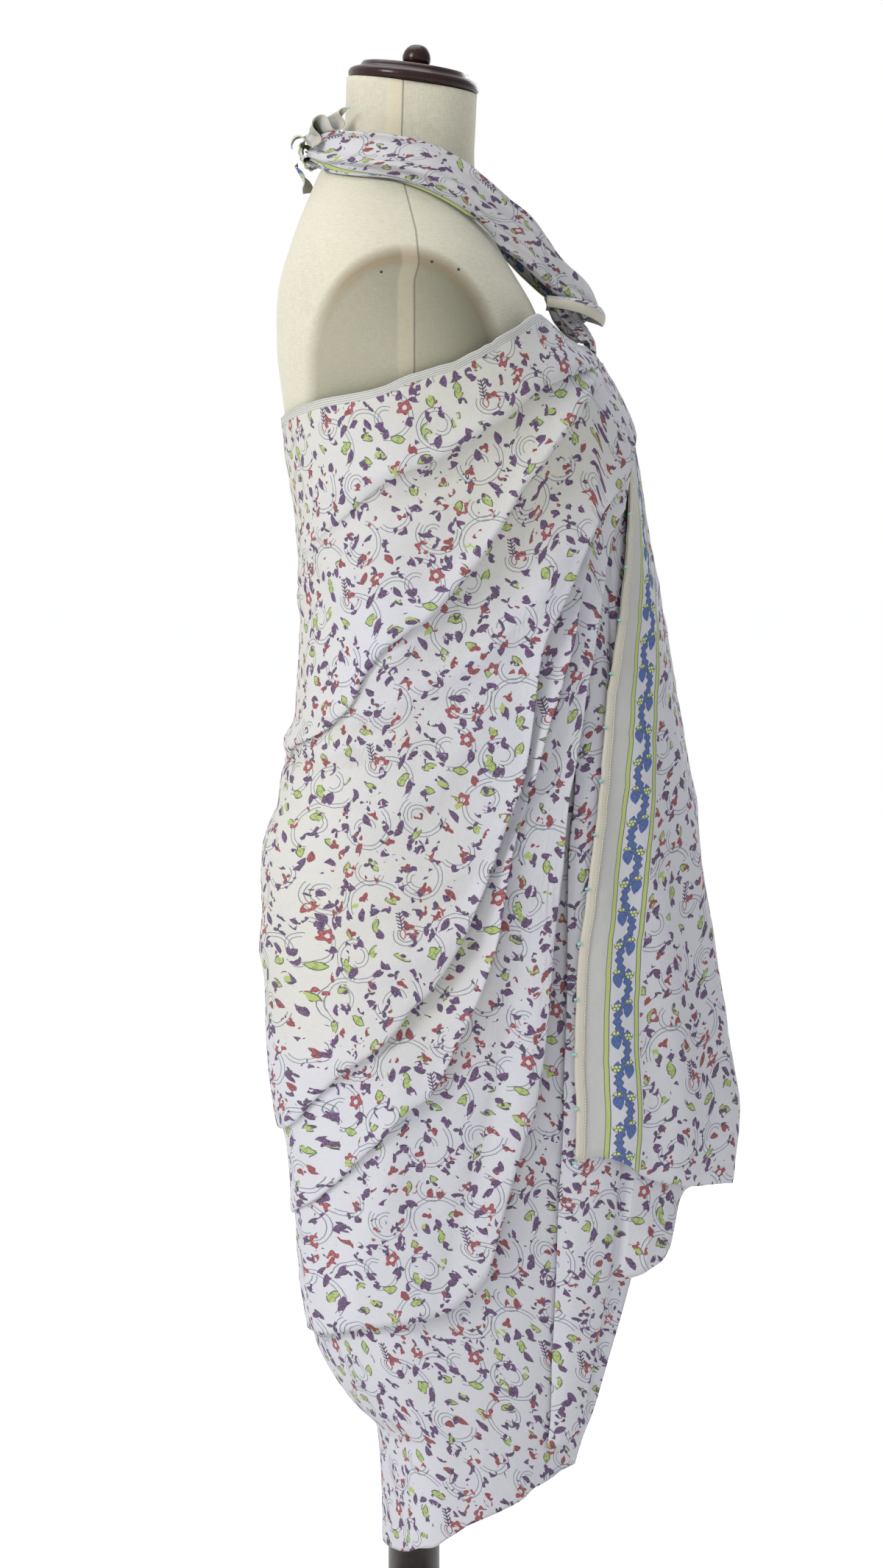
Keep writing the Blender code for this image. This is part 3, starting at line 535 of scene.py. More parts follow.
wood, wood_shader, start = new_material("dark_wood", 0.24, coat=0.12)
wood_shader.inputs["Specular IOR Level"].default_value = 0.2
place = start.node("ShaderNodeTexCoord", output=3)
grain = place.vector("MULTIPLY", (60, 420, 60)).noise(1.0, 3.0)
feed(wood_shader, "Base Color", grain.mix(srgb(12, 4, 5), srgb(46, 17, 16)))
feed(wood_shader, "Roughness", grain * 0.14 + 0.2)
tilted = Matrix.Translation((0, 0, CAP_HEIGHT + AIR)) @ Matrix.Rotation(CAP_TILT, 4, "X")
for node_name, profile, steps in (("neck_cap", CAP_PROFILE, 44), ("cap_knob", KNOB_PROFILE, 36)):
    data = turned_mesh(node_name, rounded_profile(profile, steps), tilted)
    piece = finish_object(node_name, data, wood)
    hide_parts("form_" + node_name)

# The stand: a dark painted steel pole in a collar on a flat round base.
POLE_RADIUS = 0.0238
POLE_BOTTOM = 0.0560
BASE_RADIUS = 0.200
BASE_HEIGHT = 0.024
POLE_TOP = TORSO_BOTTOM - AIR
COLLAR_TOP = POLE_BOTTOM - AIR
COLLAR_BOTTOM = BASE_HEIGHT + AIR
STAND_PROFILES = {
    "pole": (
        (0.0, POLE_TOP),
        (POLE_RADIUS, POLE_TOP),
        (POLE_RADIUS, POLE_BOTTOM),
        (0.0, POLE_BOTTOM),
    ),
    "base_collar": (
        (0.0, COLLAR_TOP),
        (0.0300, COLLAR_TOP),
        (0.0325, COLLAR_TOP - 0.0015),
        (0.0335, COLLAR_TOP - 0.004),
        (0.0345, COLLAR_BOTTOM + 0.006),
        (0.0370, COLLAR_BOTTOM + 0.002),
        (0.0400, COLLAR_BOTTOM),
        (0.0, COLLAR_BOTTOM),
    ),
    "base": (
        (0.0, BASE_HEIGHT),
        (BASE_RADIUS - 0.060, BASE_HEIGHT - 0.0005),
        (BASE_RADIUS - 0.020, BASE_HEIGHT - 0.005),
        (BASE_RADIUS - 0.004, BASE_HEIGHT - 0.011),
        (BASE_RADIUS, BASE_HEIGHT - 0.016),
        (BASE_RADIUS, 0.002),
        (BASE_RADIUS - 0.002, 0.0),
        (0.0, 0.0),
    ),
}
steel, steel_shader, start = new_material("dark_pole", 0.38, metallic=0.25)
place = start.node("ShaderNodeTexCoord", output=3)
specks = place.noise(240.0)
feed(steel_shader, "Base Color", specks.mix(srgb(30, 25, 24), srgb(52, 45, 43)))
feed(steel_shader, "Roughness", specks * 0.2 + 0.28)
for node_name, profile in STAND_PROFILES.items():
    piece = finish_object(node_name, turned_mesh(node_name, profile, Matrix()), steel)
    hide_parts("form_" + node_name)

# The cloth: white cotton voile, block-printed by hand with scrolling vines, small purple leaves,
# red and green flowers. Lengths of the print are millimetres of flat cloth, read from the UV map.
REPEAT_WIDE = 150.0
REPEAT_LONG = 156.0
CELLS = 6.0  # motifs each way in one repeat, for each layer of them
INK_EDGE = 0.34  # the ink's edges are soft over this width
# The cloth's white is cooler where it hangs free. A warmer white is painted where it lies on the
# form, for light through the thin cloth from the form behind.
WHITE_COOL = srgb(177, 177, 185)
WHITE_SHOW_THROUGH = srgb(178, 177, 169)
PURPLE = srgb(46, 4, 62)
PURPLE_PALE = srgb(72, 20, 90)
RED = srgb(112, 20, 32)
RED_PALE = srgb(154, 58, 68)
GREEN = srgb(140, 158, 76)
GREEN_PALE = srgb(178, 190, 128)
GREEN_LINE = srgb(38, 52, 30)
VINE = srgb(60, 74, 88)
BLUE = srgb(32, 70, 132)
NAVY = srgb(26, 32, 62)
STRIPE = srgb(152, 166, 88)
CREAM = srgb(176, 172, 158)
GREY_BAND = srgb(164, 164, 162)
SELVEDGE = 7.5
SELVEDGE_LINES = 1.9  # the selvedge's fine lines are this far apart
HEM_BAND = 9.3  # the border, by the distance from the short end: the cream hem ends here,
PLAIN_BAND = 24.6  # the plain grey band here,
SCROLL = (29.9, 54.6)  # the blue scroll lies between these,
SCROLL_MIDDLE = 42.3
SCROLL_WAVE = 54.0  # with one wave to this length of cloth,
STRIPES = ((24.8, 29.2), (55.2, 59.4))  # between two green stripes,
BORDER = 61.0  # and the print starts here
VINE_ARCS = (  # middle across, middle down, radius, its growth, middle of the arc and half sweep
    (30.0, 28.0, 18.0, 1.6, 2.2, 2.4),
    (30.0, 28.0, 8.0, 1.5, 0.4, 1.9),
    (72.0, 46.0, 22.0, -1.8, -1.2, 1.7),
    (70.0, 12.0, 11.0, 1.6, 0.9, 2.0),
    (112.0, 30.0, 17.0, 1.8, 1.2, 2.3),
    (112.0, 30.0, 7.0, 1.6, -0.8, 1.9),
    (142.0, 8.0, 13.0, -1.4, 2.0, 1.8),
    (134.0, 74.0, 20.0, 1.8, 2.8, 1.8),
    (134.0, 72.0, 8.5, 1.3, -0.6, 1.8),
    (92.0, 88.0, 18.0, 1.9, 0.3, 2.4),
    (92.0, 88.0, 8.0, 1.6, 2.6, 1.9),
    (44.0, 92.0, 23.0, -1.6, 3.6, 1.6),
    (48.0, 74.0, 10.0, 1.5, 1.3, 2.0),
    (18.0, 128.0, 17.0, 1.6, 0.9, 2.3),
    (18.0, 128.0, 7.5, 1.5, -1.1, 1.8),
    (66.0, 130.0, 19.0, 1.7, 1.9, 2.2),
    (64.0, 132.0, 8.0, 1.5, -1.6, 1.8),
    (110.0, 130.0, 21.0, -1.8, -0.4, 1.7),
    (112.0, 124.0, 9.0, 1.5, 2.7, 1.9),
    (3.0, 80.0, 15.0, 1.5, 4.4, 1.8),
)


def leaf(across, along, length, width, bend=0.0):
    """How far a point lies outside a pointed leaf: under 0 is inside."""
    share = along / length
    return abs(across - bend * share * share) + share * share * width - width


def scattered(spot, shift, layer, jitter):
    """A motif's own turned coordinates and a lot from 0 to 1, one motif in each cell."""
    wide = REPEAT_WIDE / CELLS
    long = REPEAT_LONG / CELLS
    moved = spot.vector("ADD", (shift[0], shift[1], 0.0)).vector("DIVIDE", (wide, long, 1.0))
    # Each row of cells slides by its own amount, so that no upright lines of motifs show
    row = moved.parts()[1].maths("FLOOR").wrap(0.0, CELLS) + (layer + 1) // 2 * 7.3
    slide = row.lot("1D", "W")
    moved = moved.vector("ADD", spot.node("ShaderNodeCombineXYZ", {}, {0: slide}))
    cell = moved.vector("FLOOR")
    local = moved.vector("SUBTRACT", cell).vector("SUBTRACT", (0.5, 0.5, 0.0))
    local = local.vector("MULTIPLY", (wide, long, 0.0))
    wrapped = cell.vector("WRAP", (CELLS, CELLS, 1.0), (0.0, 0.0, -1.0))
    seeded = wrapped.vector("ADD", (0.5, 0.5, layer + 0.5))
    dice = seeded.lot("3D", "Vector", 1)
    thrown = dice.vector("SUBTRACT", (0.5, 0.5, 0.5)).vector("MULTIPLY", (jitter, jitter, 0.0))
    away = local.vector("SUBTRACT", thrown)
    angle = dice.parts()[2] * (2 * math.pi)
    turned = spot.node(
        "ShaderNodeVectorRotate", {"rotation_type": "Z_AXIS"}, {"Vector": away, "Angle": angle}
    )
    return turned, seeded.lot("3D", "Vector")


def print_pattern(spot, ground):
    """The ground colour with the whole repeat printed on it, at a spot in millimetres."""
    soft = INK_EDGE
    colour = ground
    lines = None
    for across, down, radius, growth, middle, sweep in VINE_ARCS:
        near = spot.vector(
            "WRAP",
            (across + REPEAT_WIDE / 2, down + REPEAT_LONG / 2, 1.0),
            (across - REPEAT_WIDE / 2, down - REPEAT_LONG / 2, -1.0),
        ).vector("SUBTRACT", (across, down, 0.0))
        part_x, part_y, _ = near.parts()
        bearing = part_y.maths("ARCTAN2", part_x).maths("SUBTRACT", middle)
        bearing = bearing.wrap(-math.pi, math.pi)
        out = near.vector("LENGTH", output=1) - radius - bearing * growth
        line = abs(abs(out) - 1.7).below(0.34, soft) * abs(bearing).below(sweep * 0.86, 0.03)
        lines = line if lines is None else lines.most(line)
    colour = (lines * 0.92).mix(colour, VINE)

    # The rows of motifs rise and fall as the vines do
    round_repeat = spot.parts()[0] * (2 * math.pi / REPEAT_WIDE)
    swell = (round_repeat * 2.0 + 1.3).sine() * 4.0 + (round_repeat * 3.0).sine() * 2.5
    plain = spot
    spot = spot.vector("ADD", spot.node("ShaderNodeCombineXYZ", {}, {1: swell}))
    turned, lot = scattered(spot, (0.0, 0.0), 1, 8.0)
    part_x, part_y, _ = turned.parts()
    out = turned.vector("LENGTH", output=1)
    bearing = part_y.maths("ARCTAN2", part_x)
    # Red flowers with a pale eye
    petals = out - (bearing * 5.0).cosine() * 1.1
    flower = petals.below(6.0, soft) * (1.0 - out.below(2.2, soft)) * lot.below(0.16, 0.001)
    ring = abs(petals - 3.9).below(0.4, soft)
    colour = flower.mix(colour, ring.mix(RED, RED_PALE))
    # Red buds
    bud = (out - (bearing * 3.0).cosine() * 1.3).below(3.9, soft) * lot.between(0.16, 0.32, 0.001)
    colour = bud.mix(colour, RED)
    # Green bells with a dark outline
    bell = leaf(part_x, part_y, 6.4, 3.5, 0.0)
    crown = bell.most(3.6 - part_y - abs(abs(part_x) - 1.6) * 1.6 - 2.2)
    green = lot.between(0.32, 0.57, 0.001)
    colour = (bell.below(0.0, soft) * green).mix(colour, GREEN)
    colour = (abs(bell).below(0.55, soft) * green * 0.9).mix(colour, GREEN_LINE)
    colour = (abs(crown).below(0.4, soft) * green * 0.8).mix(colour, GREEN_LINE)
    # Three-lobed purple leaves
    lobes = out - (bearing * 3.0).cosine() * 2.5
    trefoil = lobes.below(3.4, soft) * lot.between(0.57, 0.84, 0.001)
    colour = trefoil.mix(colour, PURPLE)

    # Small pointed leaves in three loose layers, with the share of cells that have one
    for shift, layer, length, width, bend, most in (
        ((12.5, 13.0), 2, 6.3, 3.4, 1.2, 0.84),
        ((0.0, 13.0), 3, 5.8, 3.0, -1.1, 0.50),
        ((12.5, 0.0), 4, 4.8, 2.4, 0.7, 0.26),
    ):
        turned, lot = scattered(spot, shift, layer, 9.0)
        part_x, part_y, _ = turned.parts()
        if layer == 4:
            # Leaves in pairs on one stem
            folded = abs(part_x)
            along = folded * 0.6 + part_y * 0.8 - 3.6
            part_x = folded * 0.8 - part_y * 0.6
            part_y = along
        shape = leaf(part_x, part_y, length, width, bend).below(0.0, soft)
        shade = (part_x * 0.25 + 0.35).mix(PURPLE, PURPLE_PALE)
        shade = lot.below(0.05, 0.001).mix(shade, RED)
        shade = lot.between(0.05, 0.08, 0.001).mix(shade, GREEN)
        colour = (shape * lot.below(most, 0.001)).mix(colour, shade)

    # One fern frond to a repeat, over a red drop
    frond = plain.vector("WRAP", (REPEAT_WIDE, REPEAT_LONG, 1.0), (0.0, 0.0, -1.0))
    frond = frond.vector("SUBTRACT", (50.0, 64.0, 0.0))
    part_x, part_y, _ = frond.parts()
    barb = (part_y + abs(part_x) * 0.8).wrap(-1.6, 1.6)
    narrow = abs(part_x).below(3.3, soft) * abs(barb).below(0.75, soft)
    stem = abs(part_x).below(0.55, soft)
    shape = narrow.most(stem) * part_y.between(-9.0, 8.0, soft)
    colour = shape.mix(colour, PURPLE)
    drop = leaf(part_x, part_y - 11.5, 4.6, 2.4)
    colour = abs(drop).below(0.5, soft).mix(colour, RED)
    return colour


def border_pattern(spot, edge, ground, printed):
    """The border beside the cloth's short end, by the distance from that end in millimetres."""
    _, down, _ = spot.parts()
    soft = 0.4
    quarter = SCROLL_WAVE / 4
    wave = (down * (2 * math.pi / SCROLL_WAVE)).sine()
    colour = edge.below(BORDER, 0.5).mix(printed, ground)
    # A wavy blue stem with leaves, and small dotted flowers in its bends
    stem = abs(edge - SCROLL_MIDDLE - wave * 5.2)
    ragged = (down * (2 * math.pi / (quarter / 2))).sine() * 1.1
    vine = stem.below(ragged + 3.3, soft)
    step = down.wrap(-quarter, quarter)
    side = (down * (math.pi / (2 * quarter)) - math.pi / 2).cosine().maths("SIGN")
    leaf_x = (edge - SCROLL_MIDDLE) * side + 6.0
    shape = leaf(leaf_x, step - 4.4, 8.6, 5.2, 1.4).below(0.0, soft)
    blue = vine.most(shape) * edge.between(*SCROLL, soft)
    colour = blue.mix(colour, BLUE)
    rim = abs(stem - ragged - 3.3).below(0.5, soft) * edge.between(*SCROLL, soft)
    colour = (rim * 0.85).mix(colour, NAVY)
    bloom_x = (edge - SCROLL_MIDDLE) * side - 6.6
    bloom_y = step - 1.0
    out = (bloom_x * bloom_x + bloom_y * bloom_y) ** 0.5
    bearing = bloom_y.maths("ARCTAN2", bloom_x)
    petal = (bearing * 3.0).cosine()
    dots = out.between(0.0, 4.9, soft)
    colour = dots.mix(colour, GREEN_LINE)
    petals = out.between(2.1, 4.3, soft) * (1.0 - abs(petal).below(0.45, 0.2))
    colour = petals.mix(colour, GREEN_PALE)
    colour = out.below(1.4, soft).mix(colour, GREEN_PALE)
    # Green stripes with dark edges on both sides of the scroll
    for low, high in STRIPES:
        colour = edge.between(low, high, soft).mix(colour, STRIPE)
        for line in (low, high):
            colour = (abs(edge - line).below(0.45, soft) * 0.85).mix(colour, NAVY)
    colour = edge.below(PLAIN_BAND, 0.5).mix(colour, GREY_BAND)
    return edge.below(HEM_BAND, 0.4).mix(colour, CREAM)


def cloth_material(name):
    """Printed voile, its print on the UV map, with painted show-through: warmer where it lies on
    the form.
    """
    made, shader, start = new_material(name, 0.9)
    shader.inputs["Specular IOR Level"].default_value = 0.2
    flat = start.node("ShaderNodeUVMap", {"uv_map": "print"})
    spot = flat.vector("MULTIPLY", (1000.0, 1000.0, 0.0))
    wobble = spot.noise(0.11, output=1).vector("SUBTRACT", (0.5, 0.5, 0.5))
    shaken = spot.vector("ADD", wobble.vector("MULTIPLY", (1.6, 1.6, 1.6)))
    # painted show-through: the cloth's white is warmer where it lies on the form
    lying = start.node("ShaderNodeAttribute", {"attribute_name": "lying"}, output=2)
    ground = lying.mix(WHITE_COOL, WHITE_SHOW_THROUGH)
    dry = ((spot.noise(0.9) - 0.5) * 0.6).clamped()
    colour = dry.mix(print_pattern(shaken, ground), ground)
    edges = start.node("ShaderNodeUVMap", {"uv_map": "edges"})
    from_end, from_top, _ = edges.vector("MULTIPLY", (1000.0, 1000.0, 0.0)).parts()
    colour = border_pattern(shaken, from_end, ground, colour)
    selvedge = from_top.below(SELVEDGE, 0.5)
    colour = selvedge.mix(colour, ground)
    lined = (from_top * (2 * math.pi / SELVEDGE_LINES)).sine().below(-0.1, 0.5)
    colour = (lined * selvedge * 0.45).mix(colour, VINE)
    threads = spot.vector("MULTIPLY", (2.4, 0.35, 0.0)).noise(1.0, 1.0)
    across = spot.vector("MULTIPLY", (0.35, 2.4, 0.0)).noise(1.0, 1.0)
    woven = threads + across
    shaded = ((woven - 0.7) * 0.5).clamped()
    feed(shader, "Base Color", shaded.mix(colour, GREY_BAND))
    height = woven * 0.12 + spot.noise(0.035, 4.0)
    bump = start.node(
        "ShaderNodeBump", {}, {"Strength": 0.7, "Distance": 0.0034, "Height": height}
    )
    feed(shader, "Normal", bump)
    return made


voile = cloth_material("printed_voile")

# The outer turn: the cloth goes from the knot at the chest, where its front edge hangs, round the
# right side, the back and the left side, and ends across the front with its bordered, beaded end.
# Pulled up to the knot, it lies in swags, each over the next, and only the knot holds it.
SECTION_POWER = 2.15
CLOTH_SECTIONS = (  # height, front and back of the section, half width, middle line
    (1.420, -0.098, 0.118, 0.176, 0.000),
    (1.400, -0.110, 0.122, 0.180, 0.000),
    (1.380, -0.121, 0.124, 0.182, 0.000),
    (1.362, -0.138, 0.124, 0.183, 0.000),
    (1.345, -0.152, 0.124, 0.183, 0.000),
    (1.335, -0.161, 0.123, 0.182, 0.000),
    (1.308, -0.181, 0.121, 0.178, 0.000),
    (1.281, -0.1925, 0.119, 0.174, 0.000),
    (1.254, -0.1985, 0.1163, 0.170, 0.000),
    (1.230, -0.2030, 0.112, 0.165, 0.000),
    (1.176, -0.2114, 0.1045, 0.155, 0.000),
    (1.123, -0.2217, 0.1015, 0.146, 0.000),
    (1.070, -0.2306, 0.1035, 0.145, 0.000),
    (1.016, -0.2402, 0.1057, 0.150, 0.000),
    (0.989, -0.2450, 0.1118, 0.155, 0.000),
    (0.962, -0.2500, 0.1200, 0.161, 0.000),
    (0.935, -0.2540, 0.1235, 0.167, 0.000),
    (0.909, -0.2580, 0.1345, 0.173, 0.000),
    (0.880, -0.2625, 0.1383, 0.179, 0.000),
    (0.830, -0.2708, 0.1371, 0.185, 0.000),
    (0.7735, -0.2793, 0.1340, 0.187, 0.000),
    (0.719, -0.2870, 0.1322, 0.185, 0.000),
    (0.665, -0.2950, 0.1249, 0.181, 0.000),
    (0.610, -0.2910, 0.1145, 0.174, 0.000),
    (0.555, -0.2800, 0.1090, 0.166, -0.005),
    (0.500, -0.2620, 0.1045, 0.158, -0.012),
    (0.446, -0.2400, 0.0945, 0.149, -0.022),
    (0.418, -0.2280, 0.0810, 0.143, -0.030),
    (0.390, -0.2150, 0.0612, 0.137, -0.038),
    (0.363, -0.2000, 0.0370, 0.130, -0.045),
    (0.280, -0.1750, 0.0322, 0.115, -0.050),
    (0.200, -0.1600, 0.0320, 0.105, -0.050),
)
OUTER_STATIONS = (  # angle, top edge, four fold lines, lower edge, share of the folds' full depth
    (27, 1.347, 1.334, 1.325, 1.262, 1.238, 1.203, 0.5),
    (31, 1.347, 1.332, 1.323, 1.242, 1.222, 1.192, 0.7),
    (35, 1.348, 1.329, 1.320, 1.222, 1.205, 1.172, 0.9),
    (40, 1.352, 1.326, 1.314, 1.200, 1.184, 1.140, 1.0),
    (45, 1.374, 1.322, 1.300, 1.177, 1.156, 1.098, 1.0),
    (50, 1.370, 1.317, 1.282, 1.151, 1.120, 1.048, 1.0),
    (55, 1.362, 1.310, 1.262, 1.125, 1.076, 0.991, 1.0),
    (59, 1.356, 1.302, 1.243, 1.105, 1.046, 0.946, 1.0),
    (62, 1.351, 1.293, 1.230, 1.088, 1.022, 0.884, 1.0),
    (64.5, 1.347, 1.287, 1.222, 1.060, 1.000, 0.842, 1.0),
    (67, 1.345, 1.282, 1.209, 1.010, 0.968, 0.765, 1.0),
    (70, 1.341, 1.277, 1.192, 0.963, 0.933, 0.690, 1.0),
    (73, 1.338, 1.272, 1.176, 0.934, 0.896, 0.645, 1.0),
    (76, 1.334, 1.264, 1.158, 0.899, 0.832, 0.583, 1.0),
    (79, 1.330, 1.258, 1.145, 0.866, 0.789, 0.531, 1.0),
    (83, 1.327, 1.248, 1.127, 0.823, 0.744, 0.510, 1.0),
    (88, 1.322, 1.240, 1.105, 0.783, 0.692, 0.495, 0.95),
    (94, 1.316, 1.233, 1.092, 0.755, 0.674, 0.489, 0.9),
    (101, 1.309, 1.225, 1.082, 0.736, 0.655, 0.486, 0.8),
    (109, 1.305, 1.214, 1.063, 0.722, 0.639, 0.483, 0.7),
    (118, 1.302, 1.201, 1.032, 0.706, 0.621, 0.479, 0.6),
    (129, 1.299, 1.188, 1.015, 0.686, 0.603, 0.473, 0.5),
    (142, 1.294, 1.173, 1.001, 0.663, 0.587, 0.465, 0.45),
    (158, 1.288, 1.154, 0.989, 0.648, 0.573, 0.460, 0.4),
    (176, 1.284, 1.134, 0.972, 0.640, 0.561, 0.454, 0.4),
    (194, 1.285, 1.140, 0.980, 0.648, 0.566, 0.450, 0.4),
    (211, 1.291, 1.160, 0.996, 0.668, 0.583, 0.452, 0.45),
    (227, 1.299, 1.184, 1.020, 0.700, 0.610, 0.460, 0.5),
    (242, 1.306, 1.208, 1.052, 0.742, 0.645, 0.472, 0.55),
    (256, 1.313, 1.228, 1.085, 0.790, 0.690, 0.486, 0.6),
    (268, 1.320, 1.244, 1.112, 0.835, 0.735, 0.502, 0.6),
    (279, 1.327, 1.258, 1.140, 0.880, 0.780, 0.520, 0.6),
    (289, 1.334, 1.270, 1.165, 0.930, 0.822, 0.537, 0.55),
    (298, 1.341, 1.282, 1.188, 0.975, 0.860, 0.552, 0.5),
    (307, 1.349, 1.292, 1.205, 1.010, 0.890, 0.564, 0.4),
    (316, 1.356, 1.298, 1.215, 1.035, 0.905, 0.573, 0.3),
    (325, 1.360, 1.300, 1.220, 1.050, 0.910, 0.580, 0.2),
    (334, 1.354, 1.300, 1.222, 1.055, 0.905, 0.584, 0.1),
    (343, 1.348, 1.298, 1.222, 1.055, 0.900, 0.587, 0.0),
)
LAST_STATION = 343
PANEL_SPAN = 40.0  # how far the end panel counts on past the last station
PANEL_STATIONS = (  # share of the way to the beaded edge, top, four rows and hem
    (0.12, 1.347, 1.296, 1.220, 1.052, 0.895, 0.588),
    (0.24, 1.346, 1.294, 1.218, 1.050, 0.890, 0.590),
    (0.36, 1.345, 1.292, 1.216, 1.048, 0.888, 0.592),
    (0.48, 1.344, 1.290, 1.214, 1.046, 0.886, 0.597),
    (0.60, 1.342, 1.288, 1.212, 1.044, 0.884, 0.599),
    (0.70, 1.340, 1.286, 1.210, 1.042, 0.882, 0.604),
    (0.79, 1.338, 1.284, 1.208, 1.040, 0.882, 0.612),
    (0.87, 1.336, 1.282, 1.206, 1.040, 0.882, 0.628),
    (0.94, 1.334, 1.280, 1.205, 1.040, 0.884, 0.636),
    (1.00, 1.332, 1.278, 1.204, 1.040, 0.886, 0.632),
)
BEADED_EDGE = (  # height and angle past the front
    (1.400, 9.0),
    (1.332, 11.0),
    (1.289, 14.0),
    (1.250, 17.5),
    (1.217, 21.5),
    (1.170, 28.0),
    (1.127, 34.6),
    (1.037, 44.9),
    (0.953, 51.1),
    (0.874, 56.3),
    (0.796, 60.3),
    (0.716, 62.1),
    (0.634, 62.7),
    (0.560, 62.9),
)
RIGHT_EDGE = (  # height and angle of the front edge that is drawn to the knot
    (1.380, 2.0),
    (1.347, 3.0),
    (1.315, 8.0),
    (1.280, 13.0),
    (1.235, 21.0),
    (1.200, 29.0),
    (1.160, 30.0),
)
RIGHT_EDGE_STATION = 27
RIGHT_EDGE_REACH = 62
FOLD_BANDS = (  # rows of the band, how far its crest stands out, its lip's radius and turn
    (18, 0.0055, 0.0085, 92),
    (20, 0.0095, 0.0085, 100),
    (40, 0.0115, 0.0050, 140),
    (16, 0.0090, 0.0035, 160),
    (26, 0.0030, 0.0030, 0),
)
LIP_ROWS = 6
SHORT_BAND = 0.045  # a band lower than this has a shallower crest
EDGE_LIFT = 0.0045
PANEL_FLUTES = (  # angle past the front, width in degrees, depth at the hem
    (-38, 10, 0.0140),
    (-15, 8, 0.0110),
    (18, 8, 0.0110),
    (37, 7, 0.0070),
    (53, 5, 0.0045),
)
GATHER_DEPTH = 0.0016
GATHER_REACH = 26.0
GATHER_COUNT = 30
GATHER_FOOT = 1.285
VOILE = 0.0008  # thickness of the shell
FAR_FROM_EDGE = 1.0
CLEAR = 0.0030  # the cloth stays this far from the form
SIDE_CREASES = (  # width, depth, then points (y, z) of a soft crease seen from the right side
    (0.010, 0.0042, ((-0.150, 1.313), (-0.083, 1.199), (-0.006, 1.097), (0.045, 1.048))),
    (0.012, 0.0036, ((-0.080, 1.282), (-0.038, 1.258), (0.000, 1.241), (0.080, 1.219))),
    (0.009, -0.0024, ((-0.051, 1.237), (-0.013, 1.219), (0.058, 1.191))),
    (0.011, 0.0044, ((-0.134, 1.179), (-0.096, 1.109), (-0.051, 1.068), (0.051, 1.021))),
    (0.006, -0.0034, ((-0.010, 1.020), (0.043, 1.012), (0.100, 1.010))),
    (0.007, 0.0046, ((0.030, 0.998), (0.080, 0.987), (0.118, 0.990))),
    (0.006, -0.0036, ((0.039, 0.986), (0.080, 0.973), (0.118, 0.976))),
    (0.009, 0.0038, ((-0.167, 1.134), (-0.148, 1.070), (-0.115, 1.000), (-0.058, 0.885))),
    (0.010, 0.0040, ((-0.083, 0.910), (-0.051, 0.843), (-0.006, 0.814), (0.060, 0.794))),
    (0.012, 0.0034, ((-0.093, 0.878), (-0.061, 0.794), (-0.019, 0.740), (0.085, 0.710))),
    (0.008, -0.0030, ((-0.112, 0.981), (-0.083, 0.925), (-0.045, 0.872), (0.058, 0.832))),
    (0.012, 0.0040, ((-0.118, 0.860), (-0.106, 0.740), (-0.084, 0.618), (-0.064, 0.530))),
    (0.010, -0.0030, ((-0.083, 0.770), (-0.072, 0.684), (-0.051, 0.606), (-0.025, 0.510))),
    (0.014, 0.0036, ((-0.060, 1.020), (-0.019, 0.962), (0.026, 0.933), (0.085, 0.913))),
    (0.014, 0.0030, ((0.010, 0.700), (0.020, 0.620), (0.045, 0.540), (0.050, 0.480))),
    (0.013, 0.0028, ((0.070, 1.160), (0.050, 1.120), (0.010, 1.090))),
)
FAR_SIDE_SHARE = 0.65
FAR_SIDE_SHIFT = (0.012, -0.018)
BACK_CREASES = (  # width, depth, then points (x, z) of a soft crease seen from the back
    (0.013, 0.0040, ((-0.130, 1.200), (-0.040, 1.120), (0.060, 1.130), (0.140, 1.210))),
    (0.008, 0.0044, ((-0.110, 1.004), (-0.030, 0.992), (0.060, 1.000), (0.120, 1.016))),
    (0.007, -0.0038, ((-0.120, 0.985), (-0.020, 0.976), (0.080, 0.986))),
    (0.016, 0.0036, ((-0.140, 0.880), (-0.030, 0.800), (0.050, 0.810), (0.150, 0.900))),
    (0.014, 0.0034, ((-0.090, 0.600), (-0.080, 0.530), (-0.085, 0.450))),
    (0.015, 0.0038, ((0.040, 0.620), (0.046, 0.540), (0.038, 0.450))),
)
FRONT_CREASES = (  # the same, seen from the front
    (0.016, 0.0036, ((0.010, 1.330), (0.070, 1.180), (0.120, 1.060))),
    (0.014, 0.0032, ((0.005, 1.320), (0.030, 1.150), (0.050, 0.960))),
    (0.013, 0.0030, ((-0.002, 1.310), (0.000, 1.120), (-0.010, 0.900))),
    (0.018, 0.0034, ((0.130, 1.000), (0.060, 0.940), (-0.030, 0.930))),
    (0.014, 0.0038, ((0.090, 0.900), (0.100, 0.760), (0.096, 0.620))),
)


def cloth_point(angle, height, outward):
    """A point of the cloth's section at this angle in degrees and height, moved outward."""
    front, back, half_width, middle = finer(CLOTH_SECTIONS, height)
    sine = np.sin(np.radians(angle))
    cosine = np.cos(np.radians(angle))
    depth = np.where(cosine > 0, middle - front, back - middle) + outward
    across = half_width + outward
    x = -across * ring_power(sine, SECTION_POWER)
    y = middle - depth * ring_power(cosine, SECTION_POWER)
    return np.stack([x, y, height + 0 * x], axis=-1)


def from_form(points, gap):
    """Where a point lies against the form grown by a gap: over 1 is outside it."""
    y = points[..., 1]
    ring = points[..., 2]
    for _ in range(6):
        middle, depth, width, slope = finer(FORM_RINGS, ring)
        ring = points[..., 2] - slope * (y - middle)
    middle, depth, width, slope = finer(FORM_RINGS, ring)
    across = np.abs(points[..., 0] / (width + gap)) ** FORM_POWER
    along = np.abs((y - middle) / (depth + gap)) ** FORM_POWER
    return (across + along) ** (1 / FORM_POWER), middle


